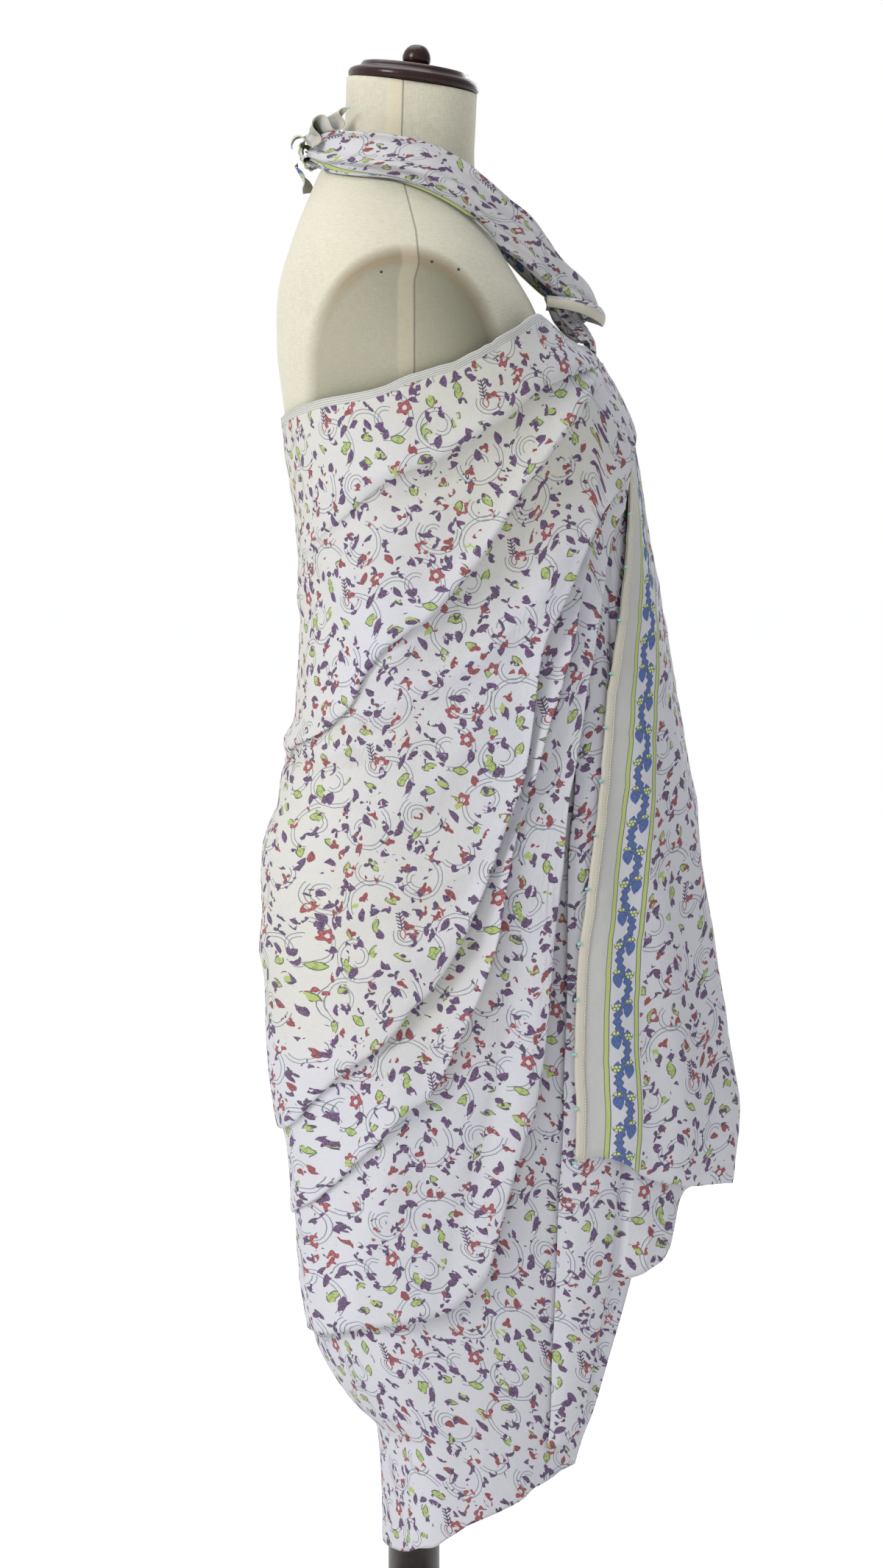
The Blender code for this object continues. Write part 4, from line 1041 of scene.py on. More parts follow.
def clear_of_form(points, gap):
    """Points closer to the form than the gap, moved out level until they clear it."""
    size, middle = from_form(points, gap)
    beside = points[..., 2] > TORSO_BOTTOM - 0.02
    push = np.where((size < 1.0) & beside, 1.0 / np.maximum(size, 0.05), 1.0)
    moved = points.copy()
    moved[..., 0] = points[..., 0] * push
    moved[..., 1] = middle + (points[..., 1] - middle) * push
    return moved


def show_through_share(points):
    """1 on the form, down to 0 where the cloth hangs free: its share of painted show-through."""
    size, _ = from_form(points, 0.0)
    gap = (size - 1.0) * 0.14
    near = np.clip(1.15 - gap / 0.024, 0, 1)
    return near * np.clip((points[..., 2] - TORSO_BOTTOM) / 0.06, 0, 1)


def crease_height(flat_points, creases, shift=(0.0, 0.0)):
    """Outward set of soft creases that are drawn as lines on a flat view of the garment."""
    total = np.zeros(flat_points.shape[:-1])
    for width, depth, line in creases:
        line = np.array(line) + shift
        nearest = np.full(total.shape, 9.0)
        taper = np.zeros(total.shape)
        lengths = np.linalg.norm(np.diff(line, axis=0), axis=1)
        before = 0.0
        for first, second, length in zip(line[:-1], line[1:], lengths):
            along = second - first
            share = np.clip((flat_points - first) @ along / (along @ along), 0, 1)
            away = np.linalg.norm(flat_points - (first + share[..., None] * along), axis=-1)
            closer = away < nearest
            whole = (before + share * length) / lengths.sum()
            taper = np.where(closer, np.sin(np.pi * (0.1 + 0.8 * whole)) ** 0.7, taper)
            nearest = np.where(closer, away, nearest)
            before += length
        total += depth * taper * np.exp(-((nearest / width) ** 2))
    return total


def facing(angle, middle, reach):
    """1 where an angle faces one way, down to 0 at the reach in degrees."""
    away = np.abs((angle - middle + 180) % 360 - 180)
    return np.clip((reach - away) / 20.0, 0, 1)


def all_creases(points, angle):
    """The soft creases of all four sides at points of the cloth."""
    side = points[..., 1:3]
    front = points[..., [0, 2]]
    total = crease_height(side, SIDE_CREASES) * facing(angle, 90, 75)
    far = crease_height(side, SIDE_CREASES, FAR_SIDE_SHIFT) * facing(angle, 270, 70)
    total = total + FAR_SIDE_SHARE * far
    total = total + crease_height(front, BACK_CREASES) * facing(angle, 180, 60)
    return total + crease_height(front, FRONT_CREASES) * facing(angle, 350, 60)


def ripples(points, seed, depth, across, along):
    """Small uneven ripples of thin cloth, longer one way than the other."""
    columns, rows = points.shape[:2]
    found = np.zeros((columns, rows))
    for i in range(columns):
        for j in range(rows):
            x, y, z = points[i, j]
            bearing = math.atan2(x, -y)
            spot = (bearing * 0.17 / along, (z - 0.25 * y) / across, seed)
            found[i, j] = noise.noise(spot) + 0.5 * noise.noise((spot[0] * 2, spot[1] * 2, seed))
    return depth * found


def slanted(station, height):
    """A station's angle at each height: those near the right front edge lean toward the knot."""
    (edge,) = finer(RIGHT_EDGE, height)
    share = max(0.0, (RIGHT_EDGE_REACH - station) / (RIGHT_EDGE_REACH - RIGHT_EDGE_STATION))
    return station + share * (edge - RIGHT_EDGE_STATION)


def angle_along(station, height):
    """The angle of a column of the outer turn at each height, past 343 toward the beaded edge."""
    if station <= LAST_STATION:
        return slanted(station, height)
    share = (station - LAST_STATION) / PANEL_SPAN
    (edge,) = finer(BEADED_EDGE, height)
    return LAST_STATION + share * (360 + edge - LAST_STATION)


def fold_profile(lines, depth):
    """Heights and outward sets down one column: each fold ends in a rolled lip over the next."""
    heights = []
    outward = []
    foot_drop = 0.0
    for band, (rows, crest, radius, turned) in enumerate(FOLD_BANDS):
        top = lines[band] - foot_drop
        bottom = lines[band + 1]
        reach = depth * crest * min(1.0, (lines[band] - bottom) / SHORT_BAND)
        last_band = band == len(FOLD_BANDS) - 1
        lip = 0.0 if last_band else radius
        share = np.linspace(0, 1, rows, endpoint=last_band)
        heights.extend(top + share * (bottom + lip - top))
        outward.extend(reach * share**1.8)
        if last_band:
            break
        firm = min(1.0, reach / 0.004)
        roll = min(radius, 0.5 * reach)
        for step in range(LIP_ROWS):
            swing = math.radians(turned) * step / (LIP_ROWS - 1)
            under = max(0.0, swing - math.pi / 2) / math.radians(75)
            drop = radius * math.sin(min(swing, math.pi / 2))
            rise = radius * (1 - math.sin(max(swing, math.pi / 2))) * firm
            heights.append(bottom + radius - drop + rise - under * (1 - firm) * 0.004)
            outward.append(reach - roll + roll * math.cos(swing))
        foot_drop = (1 - firm) * 0.006 - firm * 0.0006
    return np.array(heights), np.array(outward)


def panel_flutes(angle, height):
    """Outward set of the end panel's upright flutes, growing toward the hem."""
    growth = np.clip((1.28 - height) / 0.62, 0, 1) ** 1.2
    total = 0 * height
    for middle, width, depth in PANEL_FLUTES:
        total = total + depth * growth * np.exp(-(((angle - 360 - middle) / width) ** 2))
    return total


def knot_gathers(angle, height):
    """Outward set of the small pleats that run up to the chest knot."""
    past = (angle + 180) % 360 - 180
    near = np.exp(-((past / GATHER_REACH) ** 2)) * np.clip((height - GATHER_FOOT) / 0.05, 0, 1)
    return GATHER_DEPTH * near * (1 + np.cos(np.radians(past * GATHER_COUNT)))


def edges_map(from_end, from_top=None):
    """The map of a sheet's edges. A top edge that isn't given is far away."""
    if from_top is None:
        from_top = 0 * from_end + FAR_FROM_EDGE
    return np.stack([from_end, from_top], axis=-1)


def sheet_object(name, points, print_map, edge_map, lying, wall=VOILE):
    """A sheet of cloth through a grid of points, columns first, with its maps and a thin wall."""
    columns, rows = points.shape[:2]
    index = np.arange(columns * rows).reshape(columns, rows)
    quads = np.stack(
        [index[:-1, :-1], index[1:, :-1], index[1:, 1:], index[:-1, 1:]], axis=-1
    ).reshape(-1, 4)
    data = mesh_of(name, points.reshape(-1, 3), quads.tolist())
    corners = np.empty(len(data.loops), np.int32)
    data.loops.foreach_get("vertex_index", corners)
    for layer, values in (("print", print_map), ("edges", edge_map)):
        made = data.uv_layers.new(name=layer)
        flat = values.reshape(-1, 2)[corners].astype(np.float32)
        made.data.foreach_set("uv", flat.ravel())
    data.uv_layers["print"].active_render = True
    attribute = data.attributes.new("lying", "FLOAT", "POINT")
    attribute.data.foreach_set("value", lying.reshape(-1).astype(np.float32))
    made = finish_object(name, data, voile)
    thick = made.modifiers.new("Wall", "SOLIDIFY")
    thick.thickness = wall
    thick.offset = -1.0
    thick.use_even_offset = False
    return made


def steps_along(points, axis):
    """Lengths summed along one way of a grid, from its first row or column."""
    length = np.linalg.norm(np.diff(points, axis=axis), axis=-1)
    summed = np.cumsum(length, axis=axis)
    first = np.zeros_like(np.take(summed, [0], axis=axis))
    return np.concatenate([first, summed], axis=axis)


def cloth_area(points):
    """Area of one face of a sheet, from its grid."""
    side = np.cross(points[1:, :-1] - points[:-1, :-1], points[:-1, 1:] - points[:-1, :-1])
    other = np.cross(points[1:, 1:] - points[1:, :-1], points[1:, 1:] - points[:-1, 1:])
    return float(0.5 * (np.linalg.norm(side, axis=-1) + np.linalg.norm(other, axis=-1)).sum())


ARC_LEVELS = np.linspace(0.20, 1.42, 62)
ARC_ANGLES = np.arange(-60.0, 430.0, 2.0)
GRAIN_LEAN = 0.17  # the cloth's upright threads lean this much toward the front on the way down


def arc_table():
    """Level lengths round the cloth's section from the right side, for each height and angle."""
    rows = []
    for level in ARC_LEVELS:
        points = cloth_point(ARC_ANGLES, level + 0 * ARC_ANGLES, 0.0)
        length = np.concatenate([[0], np.cumsum(np.linalg.norm(np.diff(points, axis=0), axis=1))])
        rows.append(length - np.interp(90.0, ARC_ANGLES, length))
    return np.array(rows)


ARCS = arc_table()


def arc_along(angle, height):
    """Level length round the section from the right side to an angle, at a height."""
    level = (height - ARC_LEVELS[0]) / (ARC_LEVELS[1] - ARC_LEVELS[0])
    level = np.clip(level, 0, len(ARC_LEVELS) - 1.001)
    place = np.clip((angle - ARC_ANGLES[0]) / 2.0, 0, len(ARC_ANGLES) - 1.001)
    i = level.astype(int)
    j = place.astype(int)
    lower = ARCS[i, j] + (ARCS[i, j + 1] - ARCS[i, j]) * (place - j)
    upper = ARCS[i + 1, j] + (ARCS[i + 1, j + 1] - ARCS[i + 1, j]) * (place - j)
    return lower + (upper - lower) * (level - i)


NEAR_COLUMNS = 150
FAR_COLUMNS = 66
PANEL_COLUMNS = 46
EDGE_SLANT = 0.965
stations = np.concatenate(
    [
        np.linspace(27, 190, NEAR_COLUMNS, endpoint=False),
        np.linspace(190, LAST_STATION, FAR_COLUMNS, endpoint=False),
        LAST_STATION + PANEL_SPAN * np.linspace(0, 1, PANEL_COLUMNS) ** 0.85,
    ]
)
station_table = [list(row) for row in OUTER_STATIONS]
for share, *lines in PANEL_STATIONS:
    station_table.append([LAST_STATION + share * PANEL_SPAN, *lines, 0.0])
station_values = np.array(finer(station_table, stations))

grid = []
bearings = []
for number, station in enumerate(stations):
    *lines, depth = station_values[:, number]
    heights, outward = fold_profile(lines, depth)
    angle = angle_along(station, heights)
    starting = np.clip((50 - angle) / 20, 0, 1) * np.clip((heights - 1.10) / 0.1, 0, 1)
    outward = outward + EDGE_LIFT * starting * (station < 180)
    outward = outward + panel_flutes(angle, heights) + knot_gathers(angle, heights)
    points = cloth_point(angle, heights, 0.0 * heights)
    outward = outward + all_creases(points, angle)
    grid.append(cloth_point(angle, heights, outward))
    bearings.append(angle)
outer = np.array(grid)
bearings = np.array(bearings)
loose = ripples(outer, 3.0, 0.0011, 0.020, 0.060)
middle_line = outer * (0, 0, 1) + (0, -0.03, 0)
away = outer - middle_line
away /= np.linalg.norm(away, axis=-1, keepdims=True)
outer = clear_of_form(outer + away * loose[..., None], CLEAR)

arc = arc_along(bearings, outer[..., 2])
end_angle = 360 + finer(BEADED_EDGE, outer[..., 2])[0]
from_end = (arc_along(end_angle, outer[..., 2]) - arc) * EDGE_SLANT
from_top = steps_along(outer, 1)
print_down = from_top + (1.400 - outer[:, :1, 2]) * 0.5
last_part = np.clip((bearings - 120) / 225, 0, 1)
whole_round = float(np.median(arc[-1]))
before_end = whole_round - from_end
print_across = (arc + GRAIN_LEAN * print_down) * (1 - last_part) + before_end * last_part
outer_print = np.stack([print_across + 1.0, print_down], axis=-1)
outer_edges = edges_map(from_end, from_top)
outer_turn = sheet_object("outer_turn", outer, outer_print, outer_edges, show_through_share(outer))
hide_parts("sarong_outer_turn")

# The inner turn: the first wrap of the same cloth, seen below the swag and inside the front.
INNER_SET = 0.0040
INNER_FRONT_SET = 0.0119
INNER_STATIONS = (  # angle, top edge, lower edge
    (42.5, 1.160, 0.342),
    (50, 1.150, 0.339),
    (55, 1.120, 0.334),
    (60, 1.060, 0.329),
    (64, 0.990, 0.326),
    (68, 0.880, 0.318),
    (73, 0.760, 0.312),
    (79, 0.655, 0.306),
    (86, 0.600, 0.299),
    (94, 0.575, 0.290),
    (103, 0.560, 0.281),
    (112, 0.550, 0.272),
    (122, 0.545, 0.269),
    (133, 0.540, 0.262),
    (145, 0.535, 0.258),
    (160, 0.532, 0.257),
    (178, 0.530, 0.262),
    (196, 0.530, 0.268),
    (212, 0.532, 0.276),
    (227, 0.536, 0.285),
    (242, 0.542, 0.296),
    (256, 0.552, 0.309),
    (270, 0.566, 0.324),
    (283, 0.590, 0.352),
    (296, 0.615, 0.400),
    (309, 0.640, 0.470),
    (321, 0.655, 0.520),
    (331, 0.670, 0.560),
)
INNER_COLUMNS = 200
INNER_ROWS = 90
INNER_PRINT_SHIFT = (1.043, 0.37)

angles = np.linspace(42.5, 331, INNER_COLUMNS)
tops, bottoms = finer(INNER_STATIONS, angles)
grid = []
for angle, top, bottom in zip(angles, tops, bottoms):
    heights = top + np.linspace(0, 1, INNER_ROWS) * (bottom - top)
    front = np.clip((84 - angle) / 22, 0, 1)
    inside = INNER_SET + (INNER_FRONT_SET - INNER_SET) * front
    waves = 0.0022 * np.sin(np.radians(angle * 7)) * np.clip((0.56 - heights) / 0.25, 0, 1)
    grid.append(cloth_point(angle + 0 * heights, heights, waves - inside))
inner = np.array(grid)
print_down = 1.400 - inner[..., 2]
across = arc_along(angles[:, None] + 0 * print_down, inner[..., 2])
inner_print = np.stack([across + GRAIN_LEAN * print_down, print_down], axis=-1) + INNER_PRINT_SHIFT
inner_edges = edges_map(0 * across + FAR_FROM_EDGE)
inner_turn = sheet_object("inner_turn", inner, inner_print, inner_edges, 0 * across)
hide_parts("sarong_inner_turn")

# The cascade: the near end of the cloth falls in two soft rolls, in steps below the end panel.
CASCADE_SET = 0.0062
CASCADE_STATIONS = (  # angle at the hem, top edge, lower edge, outward set of its rolls
    (-24, 1.140, 0.600, -0.0040),
    (-12, 1.180, 0.602, -0.0010),
    (0, 1.220, 0.601, -0.0030),
    (12, 1.255, 0.600, -0.0005),
    (22, 1.280, 0.598, -0.0030),
    (29, 1.290, 0.595, -0.0010),
    (32, 1.292, 0.584, 0.0010),
    (34, 1.293, 0.562, 0.0020),
    (36.5, 1.293, 0.536, 0.0025),
    (40, 1.292, 0.528, 0.0020),
    (43.5, 1.290, 0.522, 0.0025),
    (46.5, 1.288, 0.519, 0.0030),
    (47.6, 1.286, 0.516, -0.0035),
    (48.3, 1.284, 0.470, -0.0030),
    (49.6, 1.280, 0.405, 0.0005),
    (51.8, 1.276, 0.376, 0.0030),
    (55, 1.270, 0.368, 0.0040),
    (58, 1.262, 0.365, 0.0035),
    (60.5, 1.256, 0.363, 0.0010),
    (61.8, 1.250, 0.361, -0.0012),
)
CASCADE_BILLOW = 0.0080
CASCADE_LEFT_EDGE = (  # height and angle
    (1.290, 36.0),
    (1.210, 43.0),
    (1.133, 48.0),
    (1.065, 51.5),
    (1.025, 53.0),
    (0.954, 56.0),
    (0.896, 59.0),
    (0.750, 62.5),
    (0.674, 64.2),
    (0.588, 64.6),
    (0.475, 63.3),
    (0.361, 61.2),
)
CASCADE_COLUMNS = 190
CASCADE_ROWS = 110
CASCADE_PRINT_SHIFT = (1.083, 1.447)

first = CASCADE_STATIONS[0][0]
last = CASCADE_STATIONS[-1][0]
angles = np.concatenate([np.linspace(first, 29, 60, endpoint=False), np.linspace(29, last, 130)])
tops, bottoms, sets = finer(CASCADE_STATIONS, angles)
grid = []
cascade_bearings = []
for angle, top, bottom, outward in zip(angles, tops, bottoms, sets):
    share = np.linspace(0, 1, CASCADE_ROWS)
    heights = top + share * (bottom - top)
    (edge,) = finer(CASCADE_LEFT_EDGE, heights)
    spread = (angle - first) / (last - first)
    bearing = first + spread * (edge - first)
    bearing = np.where(heights < 0.62, angle + (edge - last) * spread, bearing)
    billow = CASCADE_BILLOW * np.clip((0.588 - heights) / 0.04, 0, 1)
    billow = billow * np.clip((angle - 26) / 6, 0, 1) * np.clip((47 - angle) / 5, 0, 1)
    grid.append(cloth_point(bearing, heights, outward * share**0.5 + billow - CASCADE_SET))
    cascade_bearings.append(bearing)
cascade = np.array(grid)
across = arc_along(np.array(cascade_bearings), cascade[..., 2])
cascade_print = np.stack([across, -cascade[..., 2]], axis=-1) + CASCADE_PRINT_SHIFT
cascade_edges = edges_map(0 * across + FAR_FROM_EDGE)
front_cascade = sheet_object("front_cascade", cascade, cascade_print, cascade_edges, 0 * across)
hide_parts("sarong_front_cascade")

# The end's turned hem: 9 mm of cream cloth folded over and stitched down along the beaded edge.
HEM_WIDTH = 0.0090
HEM_WALL = 0.0009
HEM_ROWS = 4
HEM_START = 12  # above this row the hem is gathered into the knot

edge_line = outer[-1]
inward = outer[-2] - edge_line
inward /= np.linalg.norm(inward, axis=1, keepdims=True)
down_line = np.gradient(edge_line, axis=0)
face = np.cross(down_line, inward)
face /= np.linalg.norm(face, axis=1, keepdims=True)
face *= np.sign((face * (edge_line * (1, 1, 0) + (0, 0.05, 0))).sum(axis=1, keepdims=True))
strips = []
for row, share in enumerate(np.linspace(1, 0, HEM_ROWS)):
    crown = HEM_WALL * (0.75 + 0.25 * math.sin(math.pi * share))
    strips.append(edge_line + inward * HEM_WIDTH * share + face * (AIR + crown))
hem = np.array(strips)[:, HEM_START:]
hem_across = np.linspace(HEM_WIDTH, 0, HEM_ROWS)[:, None] + np.zeros(hem.shape[:2])
hem_print = np.stack([hem_across, steps_along(hem, 1)], axis=-1)
hem_shell = HEM_WALL * 0.6
end_hem = sheet_object(
    "end_hem", hem, hem_print, edges_map(hem_across), 0 * hem_across, hem_shell
)
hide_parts("sarong_end_hem")


# Beads and stitches along the end: glass beads in threes every 46 mm, and a running stitch.
def line_object(name, points):
    """A loose line of edges, to carry what is sewn along it."""
    edges = [(k, k + 1) for k in range(len(points) - 1)]
    data = bpy.data.meshes.new(name)
    data.from_pydata([tuple(p) for p in points], edges, [])
    made = bpy.data.objects.new(name, data)
    bpy.context.scene.collection.objects.link(made)
    return made


def sewn_tree(name, skin, bead):
    """Geometry nodes that set a bead or a stitch at equal steps along a line."""
    tree = bpy.data.node_groups.new(name, "GeometryNodeTree")
    tree.interface.new_socket("Line", in_out="INPUT", socket_type="NodeSocketGeometry")
    for label in ("Step", "Radius", "Length"):
        tree.interface.new_socket(label, in_out="INPUT", socket_type="NodeSocketFloat")
    tree.interface.new_socket("Sewn", in_out="OUTPUT", socket_type="NodeSocketGeometry")
    add = tree.nodes.new
    link = tree.links.new
    # The line as a curve, with points at equal steps
    came = add("NodeGroupInput")
    done = add("NodeGroupOutput")
    curve = add("GeometryNodeMeshToCurve")
    spaced = add("GeometryNodeResampleCurve")
    spaced.mode = "LENGTH"
    link(came.outputs["Line"], curve.inputs[0])
    link(curve.outputs[0], spaced.inputs["Curve"])
    link(came.outputs["Step"], spaced.inputs["Length"])
    # What is sewn on, lying along the line
    tangent = add("GeometryNodeInputTangent")
    aligned = add("FunctionNodeAlignRotationToVector")
    aligned.axis = "Z"
    link(tangent.outputs[0], aligned.inputs["Vector"])
    if bead:
        shape = add("GeometryNodeMeshUVSphere")
        shape.inputs["Segments"].default_value = 10
        shape.inputs["Rings"].default_value = 7
        link(came.outputs["Radius"], shape.inputs["Radius"])
    else:
        shape = add("GeometryNodeMeshCylinder")
        shape.inputs["Vertices"].default_value = 6
        link(came.outputs["Radius"], shape.inputs["Radius"])
        link(came.outputs["Length"], shape.inputs["Depth"])
    placed = add("GeometryNodeInstanceOnPoints")
    link(spaced.outputs[0], placed.inputs["Points"])
    link(shape.outputs["Mesh"], placed.inputs["Instance"])
    link(aligned.outputs[0], placed.inputs["Rotation"])
    real = add("GeometryNodeRealizeInstances")
    link(placed.outputs[0], real.inputs[0])
    skinned = add("GeometryNodeSetMaterial")
    skinned.inputs["Material"].default_value = skin
    link(real.outputs[0], skinned.inputs["Geometry"])
    link(skinned.outputs[0], done.inputs[0])
    return tree


def sewn_along(name, points, tree, step, radius, length):
    """A plain mesh of what the tree sews along a line."""
    line = line_object(name + "_line", points)
    modifier = line.modifiers.new("Sewn", "NODES")
    modifier.node_group = tree
    for item in tree.interface.items_tree:
        if item.in_out == "INPUT" and item.name in ("Step", "Radius", "Length"):
            value = {"Step": step, "Radius": radius, "Length": length}[item.name]
            modifier[item.identifier] = value
    bpy.context.view_layer.update()
    graph = bpy.context.evaluated_depsgraph_get()
    data = bpy.data.meshes.new_from_object(line.evaluated_get(graph))
    line.modifiers.remove(modifier)
    bpy.data.objects.remove(line)
    data.name = name
    return finish_object(name, data)


glass, glass_shader, start = new_material("bead_glass", 0.16, coat=0.8)
place = start.node("ShaderNodeTexCoord", output=3)
feed(glass_shader, "Base Color", place.noise(420.0).mix(srgb(28, 118, 122), srgb(150, 214, 214)))
thread, thread_shader, start = new_material("sewing_thread", 0.8)
place = start.node("ShaderNodeTexCoord", output=3)
feed(thread_shader, "Base Color", place.noise(900.0).mix(srgb(196, 188, 168), srgb(236, 231, 216)))

BEADS_FROM = HEM_START + 4  # the first row of the edge with beads
BEAD_STEP = 0.0465
BEAD_RADIUS = 0.00115
STITCH_STEP = 0.0027
bead_line = edge_line[BEADS_FROM:] + face[BEADS_FROM:] * 0.0014
bead_tree = sewn_tree("sewn_beads", glass, True)
stitch_tree = sewn_tree("running_stitch", thread, False)
CLUSTER = ((-0.0006, 0.0), (0.0018, 0.0006), (0.0006, 0.0007))  # out from the edge, and up
for number, (out, up) in enumerate(CLUSTER):
    moved = bead_line - inward[BEADS_FROM:] * out + np.array([0, 0, up])
    piece = sewn_along(f"end_beads_{number}", moved, bead_tree, BEAD_STEP, BEAD_RADIUS, 0.0)
stitched = edge_line + inward * (HEM_WIDTH - 0.0011) + face * (AIR + HEM_WALL)
stitches = sewn_along(
    "hem_stitches", stitched[HEM_START + 1 :], stitch_tree, STITCH_STEP, 0.00022, 0.0019
)

# The straps: two corners of the cloth, gathered lengthwise, run from the chest knot up over the
# collarbones to the nape. They are one cloth with the turns and are only pulled tight.
NEAR_STRAP = (  # x, y, z, half width and half height of the gathered cloth
    (-0.0110, 0.0900, 1.5220, 0.0075, 0.0030),
    (-0.0240, 0.0850, 1.5215, 0.0100, 0.0060),
    (-0.0430, 0.0680, 1.5190, 0.0170, 0.0085),
    (-0.0640, 0.0420, 1.5150, 0.0190, 0.0090),
    (-0.0740, 0.0140, 1.5110, 0.0190, 0.0095),
    (-0.0760, -0.0090, 1.5040, 0.0195, 0.0100),
    (-0.0720, -0.0320, 1.4920, 0.0200, 0.0105),
    (-0.0640, -0.0545, 1.4760, 0.0205, 0.0110),
    (-0.0540, -0.0755, 1.4580, 0.0215, 0.0110),
    (-0.0440, -0.0955, 1.4435, 0.0225, 0.0110),
    (-0.0340, -0.1135, 1.4250, 0.0215, 0.0105),
    (-0.0240, -0.1290, 1.4080, 0.0195, 0.0105),
    (-0.0180, -0.1460, 1.3925, 0.0165, 0.0080),
    (-0.0158, -0.1560, 1.3750, 0.0145, 0.0050),
)
FAR_STRAP = (
    (0.0110, 0.0900, 1.5225, 0.0075, 0.0030),
    (0.0240, 0.0855, 1.5220, 0.0095, 0.0055),
    (0.0430, 0.0680, 1.5220, 0.0165, 0.0085),
    (0.0640, 0.0420, 1.5190, 0.0180, 0.0090),
    (0.0740, 0.0140, 1.5140, 0.0185, 0.0095),
    (0.0760, -0.0090, 1.5060, 0.0190, 0.0100),
    (0.0720, -0.0320, 1.4940, 0.0195, 0.0105),
    (0.0640, -0.0545, 1.4780, 0.0200, 0.0110),
    (0.0540, -0.0755, 1.4600, 0.0205, 0.0110),
    (0.0450, -0.0920, 1.4430, 0.0200, 0.0100),
    (0.0370, -0.1050, 1.4250, 0.0180, 0.0090),
    (0.0300, -0.1200, 1.4080, 0.0155, 0.0085),
    (0.0220, -0.1400, 1.3940, 0.0145, 0.0080),
    (0.0162, -0.1558, 1.3750, 0.0140, 0.0050),
)
STRAP_COLUMNS = 110
STRAP_POINTS = 61
STRAP_FOLDS = (  # place across the strap from -1 to 1, its drift along, width, depth
    (-0.62, 0.16, 0.10, 0.0042),
    (-0.28, -0.20, 0.09, 0.0036),
    (0.06, 0.14, 0.10, 0.0046),
    (0.40, -0.12, 0.09, 0.0038),
    (0.72, 0.10, 0.08, 0.0032),
)
STRAP_GAP = 0.0052
NEAR_BORDER = 0.0475  # where in the border the near strap's lower edge is turned in at the nape,
NEAR_BORDER_DRIFT = 0.016  # and how much further from the end it is at the chest
FAR_BORDER = 0.026  # the same for the far strap's edge


def finer_path(path, count):
    """A path's rows at equal steps along it."""
    rows = np.array(path)
    length = np.linalg.norm(np.diff(rows[:, :3], axis=0), axis=1)
    known = np.concatenate([[0], np.cumsum(length)])
    at = np.linspace(0, known[-1], count)
    return np.stack([smooth(known, rows[:, i], at) for i in range(rows.shape[1])], axis=-1)


def path_frames(line, towards):
    """Side and outward directions along a path, facing away from a point for each row."""
    tangent = np.gradient(line, axis=0)
    tangent /= np.linalg.norm(tangent, axis=1, keepdims=True)
    out = line - towards
    out -= (out * tangent).sum(axis=1, keepdims=True) * tangent
    out /= np.linalg.norm(out, axis=1, keepdims=True)
    return np.cross(tangent, out), out


def strap_points(path, phase):
    """The gathered strap: a half tube, open toward the neck, with lengthwise folds."""
    rows = finer_path(path, STRAP_COLUMNS)
    line = rows[:, :3]
    inside = np.clip((-0.04 - line[:, 1]) / 0.02, 0, 1)
    depth = 0.012 * (1 - inside) + 0.35 * line[:, 1] * inside
    towards = np.stack([0 * depth, depth, line[:, 2] - 0.012], axis=-1)
    side, out = path_frames(line, towards)
    across = np.linspace(-1.25, 1.25, STRAP_POINTS)
    turn = across * math.pi / 2
    found = []
    for k in range(STRAP_COLUMNS):
        share = k / (STRAP_COLUMNS - 1)
        ridge = 0 * turn
        for middle, drift, width, deep in STRAP_FOLDS:
            at = middle + drift * math.sin(4.0 * share + phase)
            ridge = ridge + deep * np.exp(-(((across / 1.25 - at) / width) ** 2))
        width_here = np.sin(turn) * (rows[k, 3] + 0.3 * ridge)
        above = np.cos(turn) * rows[k, 4] * 0.93 + ridge * np.clip(np.cos(turn) + 0.4, 0.2, 1)
        found.append(line[k] + np.outer(width_here, side[k]) + np.outer(above, out[k]))
    return clear_of_form(np.array(found), STRAP_GAP)


def small_sheet(name, points, shift, node_name, from_end=None):
    """A small stretch of the same cloth, its print set by how long and wide it is."""
    along = steps_along(points, 0)
    across = steps_along(points, 1)
    flat = np.stack([across * 1.5 + shift[0], along + shift[1]], axis=-1)
    edges = edges_map(0 * along + FAR_FROM_EDGE if from_end is None else from_end)
    made = sheet_object(name, points, flat, edges, 0 * along + 0.25)
    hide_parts(node_name)
    return made


near = strap_points(NEAR_STRAP, 0.4)[::-1]
far = strap_points(FAR_STRAP, 1.9)
near_width = steps_along(near, 1)
from_lower = near_width[:, -1:] - near_width
to_chest = np.linspace(1, 0, STRAP_COLUMNS)[:, None]
near_border = NEAR_BORDER + NEAR_BORDER_DRIFT * to_chest + from_lower
right_strap = small_sheet("right_strap", near, (0.020, 0.060), "sarong_right_strap", near_border)
far_border = FAR_BORDER + steps_along(far, 1)
left_strap = small_sheet("left_strap", far, (0.110, 0.020), "sarong_left_strap", far_border)

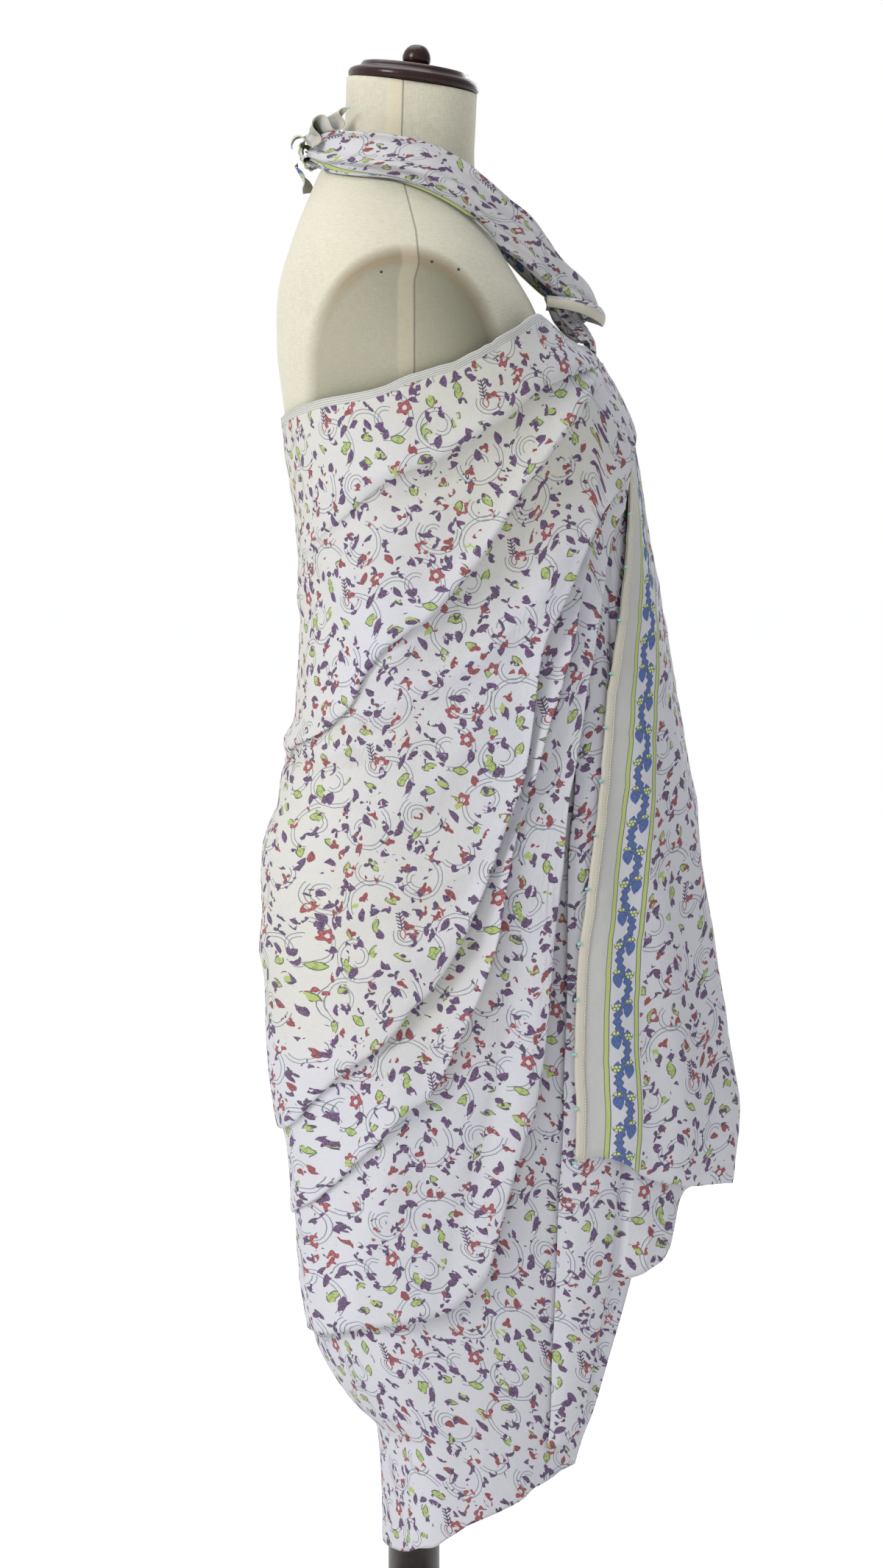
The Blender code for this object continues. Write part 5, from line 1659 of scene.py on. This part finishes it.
# The chest knot: the straps' feet and the panels' top, gathered in a bell, with a band of the
# cloth's hemmed corner laid round it.
TWIST_RINGS = (  # y, z, half width, half depth, top to bottom
    (-0.1290, 1.3920, 0.0240, 0.0095),
    (-0.1325, 1.3840, 0.0235, 0.0100),
    (-0.1365, 1.3760, 0.0235, 0.0110),
    (-0.1425, 1.3685, 0.0260, 0.0130),
    (-0.1490, 1.3605, 0.0330, 0.0130),
    (-0.1530, 1.3525, 0.0440, 0.0108),
)
TWIST_LOBES = 9
TWIST_LOBE_DEPTH = 0.0022
TWIST_DROP = 0.0120
TWIST_COLUMNS = 181
TWIST_ROWS = 26
CHEST_LOOP = (  # x, y, z of the middle line and half width
    (-0.0430, -0.1190, 1.3870, 0.0048),
    (-0.0415, -0.1370, 1.3850, 0.0055),
    (-0.0350, -0.1530, 1.3815, 0.0064),
    (-0.0190, -0.1665, 1.3760, 0.0072),
    (0.0000, -0.1700, 1.3735, 0.0075),
    (0.0180, -0.1665, 1.3755, 0.0072),
    (0.0340, -0.1540, 1.3795, 0.0064),
    (0.0408, -0.1390, 1.3840, 0.0055),
    (0.0443, -0.1210, 1.3870, 0.0048),
)
LOOP_MIDDLE = (0.0, -0.125, 1.372)
LOOP_HEM = 0.0085
PAST_BORDER = 0.060  # beyond its hem the loop shows the print, not the border

places = np.linspace(0, 1, len(TWIST_RINGS))
share = np.linspace(0, 1, TWIST_ROWS)
ring_y, ring_z, ring_width, ring_depth = (
    smooth(places, column(TWIST_RINGS, i), share) for i in range(4)
)
grid = []
for angle in np.linspace(0, 2 * np.pi, TWIST_COLUMNS):
    lobe = TWIST_LOBE_DEPTH * np.cos(TWIST_LOBES * angle + 1.75 * share)
    drop = TWIST_DROP * max(0.0, 1.3 * math.cos(angle) - 0.3) * share**2
    ring_x = -(ring_width + lobe) * math.sin(angle)
    forward = ring_y - (ring_depth + lobe) * math.cos(angle)
    grid.append(np.stack([ring_x, forward, ring_z - drop], axis=-1))
twist_points = clear_of_form(np.array(grid), CLEAR)
chest_twist = small_sheet("chest_twist", twist_points, (0.052, 0.013), "sarong_chest_twist")


def band_points(path, middle, count, across_points, bulge, ruffle=0.0, waves=0.0):
    """A band that follows a path, bulging outward across its width, with ruffled edges."""
    rows = finer_path(path, count)
    side, out = path_frames(rows[:, :3], np.array(middle))
    across = np.linspace(-1, 1, across_points)
    found = []
    for k in range(count):
        share = k / (count - 1)
        lift = bulge * (1 - across**2) + ruffle * across * math.sin(waves * share)
        found.append(
            rows[k, :3] + np.outer(across * rows[k, 3], side[k]) + np.outer(lift, out[k])
        )
    return np.array(found)


loop_points = band_points(CHEST_LOOP, LOOP_MIDDLE, 90, 17, 0.0026)
loop_width = steps_along(loop_points, 1)
from_hem = loop_width[:, ::-1]
from_hem = np.where(from_hem < LOOP_HEM, from_hem, from_hem + PAST_BORDER)
chest_loop = small_sheet("chest_loop", loop_points, (0.0, 0.0), "sarong_chest_loop", from_hem)

# The nape knot: the two ends are passed round each other once and stand off as short ruffled tails.
KNOT_RINGS = (  # x, half height, half depth
    (-0.0165, 0.0136, 0.0083),
    (-0.0115, 0.0145, 0.0102),
    (0.0000, 0.0150, 0.0108),
    (0.0115, 0.0145, 0.0102),
    (0.0165, 0.0136, 0.0083),
)
KNOT_BACK = 0.0908
KNOT_HEIGHT = 1.5220
TAIL_ROOT = ((-0.0178, 0.0985, 1.5330), (-0.0178, 0.0885, 1.5375))
TAIL_EDGE = (
    (-0.0430, 0.1060, 1.5215),
    (-0.0470, 0.0930, 1.5310),
    (-0.0490, 0.0800, 1.5390),
    (-0.0500, 0.0680, 1.5465),
    (-0.0490, 0.0560, 1.5540),
)
TAIL_WAVES = 2.25
TAIL_WAVE_DEPTH = 0.0115
TAIL_CURL = 0.0032
TAIL_COLUMNS = 121
TAIL_ROWS = 26
LEFT_TAIL = (  # x, y, z of the middle line and half width
    (0.0080, 0.1045, 1.5110, 0.0050),
    (0.0110, 0.0995, 1.5020, 0.0085),
    (0.0128, 0.0955, 1.4940, 0.0095),
    (0.0135, 0.0945, 1.4860, 0.0070),
)

turn = np.linspace(-0.90, 0.90, 97) * math.pi
grid = []
for knot_x in np.linspace(-0.0165, 0.0165, 31):
    half_height, half_depth = finer(KNOT_RINGS, knot_x)
    folds = 0.0009 * np.cos(turn * 5 + knot_x * 90) + 0.0006 * np.cos(turn * 12 - knot_x * 150)
    back = KNOT_BACK + (half_depth + folds) * np.cos(turn)
    height = KNOT_HEIGHT + (half_height + folds) * np.sin(turn)
    grid.append(np.stack([knot_x + 0 * back, back, height], axis=-1))
knot_points = np.array(grid)
nape_knot = small_sheet("nape_knot", knot_points, (0.07, 0.09), "sarong_nape_knot")

along = np.linspace(0, 1, TAIL_COLUMNS)
known = np.linspace(0, 1, len(TAIL_EDGE))
edge = np.stack([smooth(known, column(TAIL_EDGE, i), along) for i in range(3)], axis=-1)
swing = 2 * np.pi * TAIL_WAVES * along + 0.5
fading = 0.3 + 0.7 * np.sin(np.pi * along) ** 0.7
wave = TAIL_WAVE_DEPTH * fading * np.sin(swing)
curl = TAIL_CURL * fading * np.sin(2 * swing)
edge = edge + np.outer(wave, (0.0, 0.55, 0.83)) + np.outer(curl, (0.0, 0.84, -0.54))
edge = edge + np.outer(0.0050 * fading * np.cos(swing), (1, 0, 0))
root_first, root_last = (np.array(point) for point in TAIL_ROOT)
root = root_first + np.outer(along, root_last - root_first)
share = np.linspace(0, 1, TAIL_ROWS)[None, :, None]
fullness = 0.0040 * np.sin(np.pi * share) * np.sin(swing * 1.6)[:, None, None]
tail_points = root[:, None] + share * (edge - root)[:, None] + fullness * (0.0, 0.55, 0.83)
from_hem = steps_along(tail_points[:, ::-1], 1)[:, ::-1] * 1.3
tail_right = small_sheet(
    "nape_tail_right", tail_points, (0.0, 0.0), "sarong_nape_tail_right", from_hem
)
left_points = band_points(LEFT_TAIL, (0.0, 0.0, 1.500), 40, 21, 0.0020, 0.0035, 5.1)
from_hem = steps_along(left_points[::-1], 0)[::-1] * 1.6
tail_left = small_sheet(
    "nape_tail_left", left_points, (0.03, 0.05), "sarong_nape_tail_left", from_hem
)
tail_beads = sewn_along("tail_beads", tail_points[:, -1], bead_tree, 0.030, BEAD_RADIUS, 0.0)


# Each sheet's flat size, as a part of the one cloth of about 1.10 by 1.80 m, worked out and not
# kept.
def declare(points, flat):
    """Works out a piece's area and keeps nothing. Its own area stands where the cut isn't a
    rectangle.
    """
    area = min(cloth_area(points), flat[0] * flat[1])
    area = max(area, 0.31 * flat[0] * flat[1])


sewn_on = [end_hem, stitches] + [bpy.data.objects[f"end_beads_{k}"] for k in range(3)]
declare(outer, (0.95, 1.45))
declare(inner, (0.85, 0.95))
declare(cascade, (0.90, 0.32))
declare(near, (0.12, 0.34))
declare(far, (0.12, 0.34))
declare(twist_points, (0.05, 0.24))
declare(loop_points, (0.018, 0.13))
declare(knot_points, (0.035, 0.07))
declare(tail_points, (0.04, 0.10))
declare(left_points, (0.02, 0.03))

# The floor: a pale sheet, with no edge in view.
FLOOR_REACH = 30.0
FLOOR_GLOW = 0.13  # it glows a little, so that it is as white as the room
corner_sides = ((-1, -1), (1, -1), (1, 1), (-1, 1))
floor_corners = [(x * FLOOR_REACH, y * FLOOR_REACH, 0) for x, y in corner_sides]
floor_data = mesh_of("floor", floor_corners, [(0, 1, 2, 3)])
floor = bpy.data.objects.new("floor", floor_data)
bpy.context.scene.collection.objects.link(floor)
paper, paper_shader, start = new_material("floor_paper", 0.9)
place = start.node("ShaderNodeTexCoord", output=3)
mottle = place.noise(3.0)
paper_shader.inputs["Emission Color"].default_value = (1, 1, 1, 1)
paper_shader.inputs["Emission Strength"].default_value = FLOOR_GLOW
feed(paper_shader, "Base Color", mottle.mix((0.95, 0.95, 0.95, 1), (0.98, 0.98, 0.98, 1)))
floor_data.materials.append(paper)
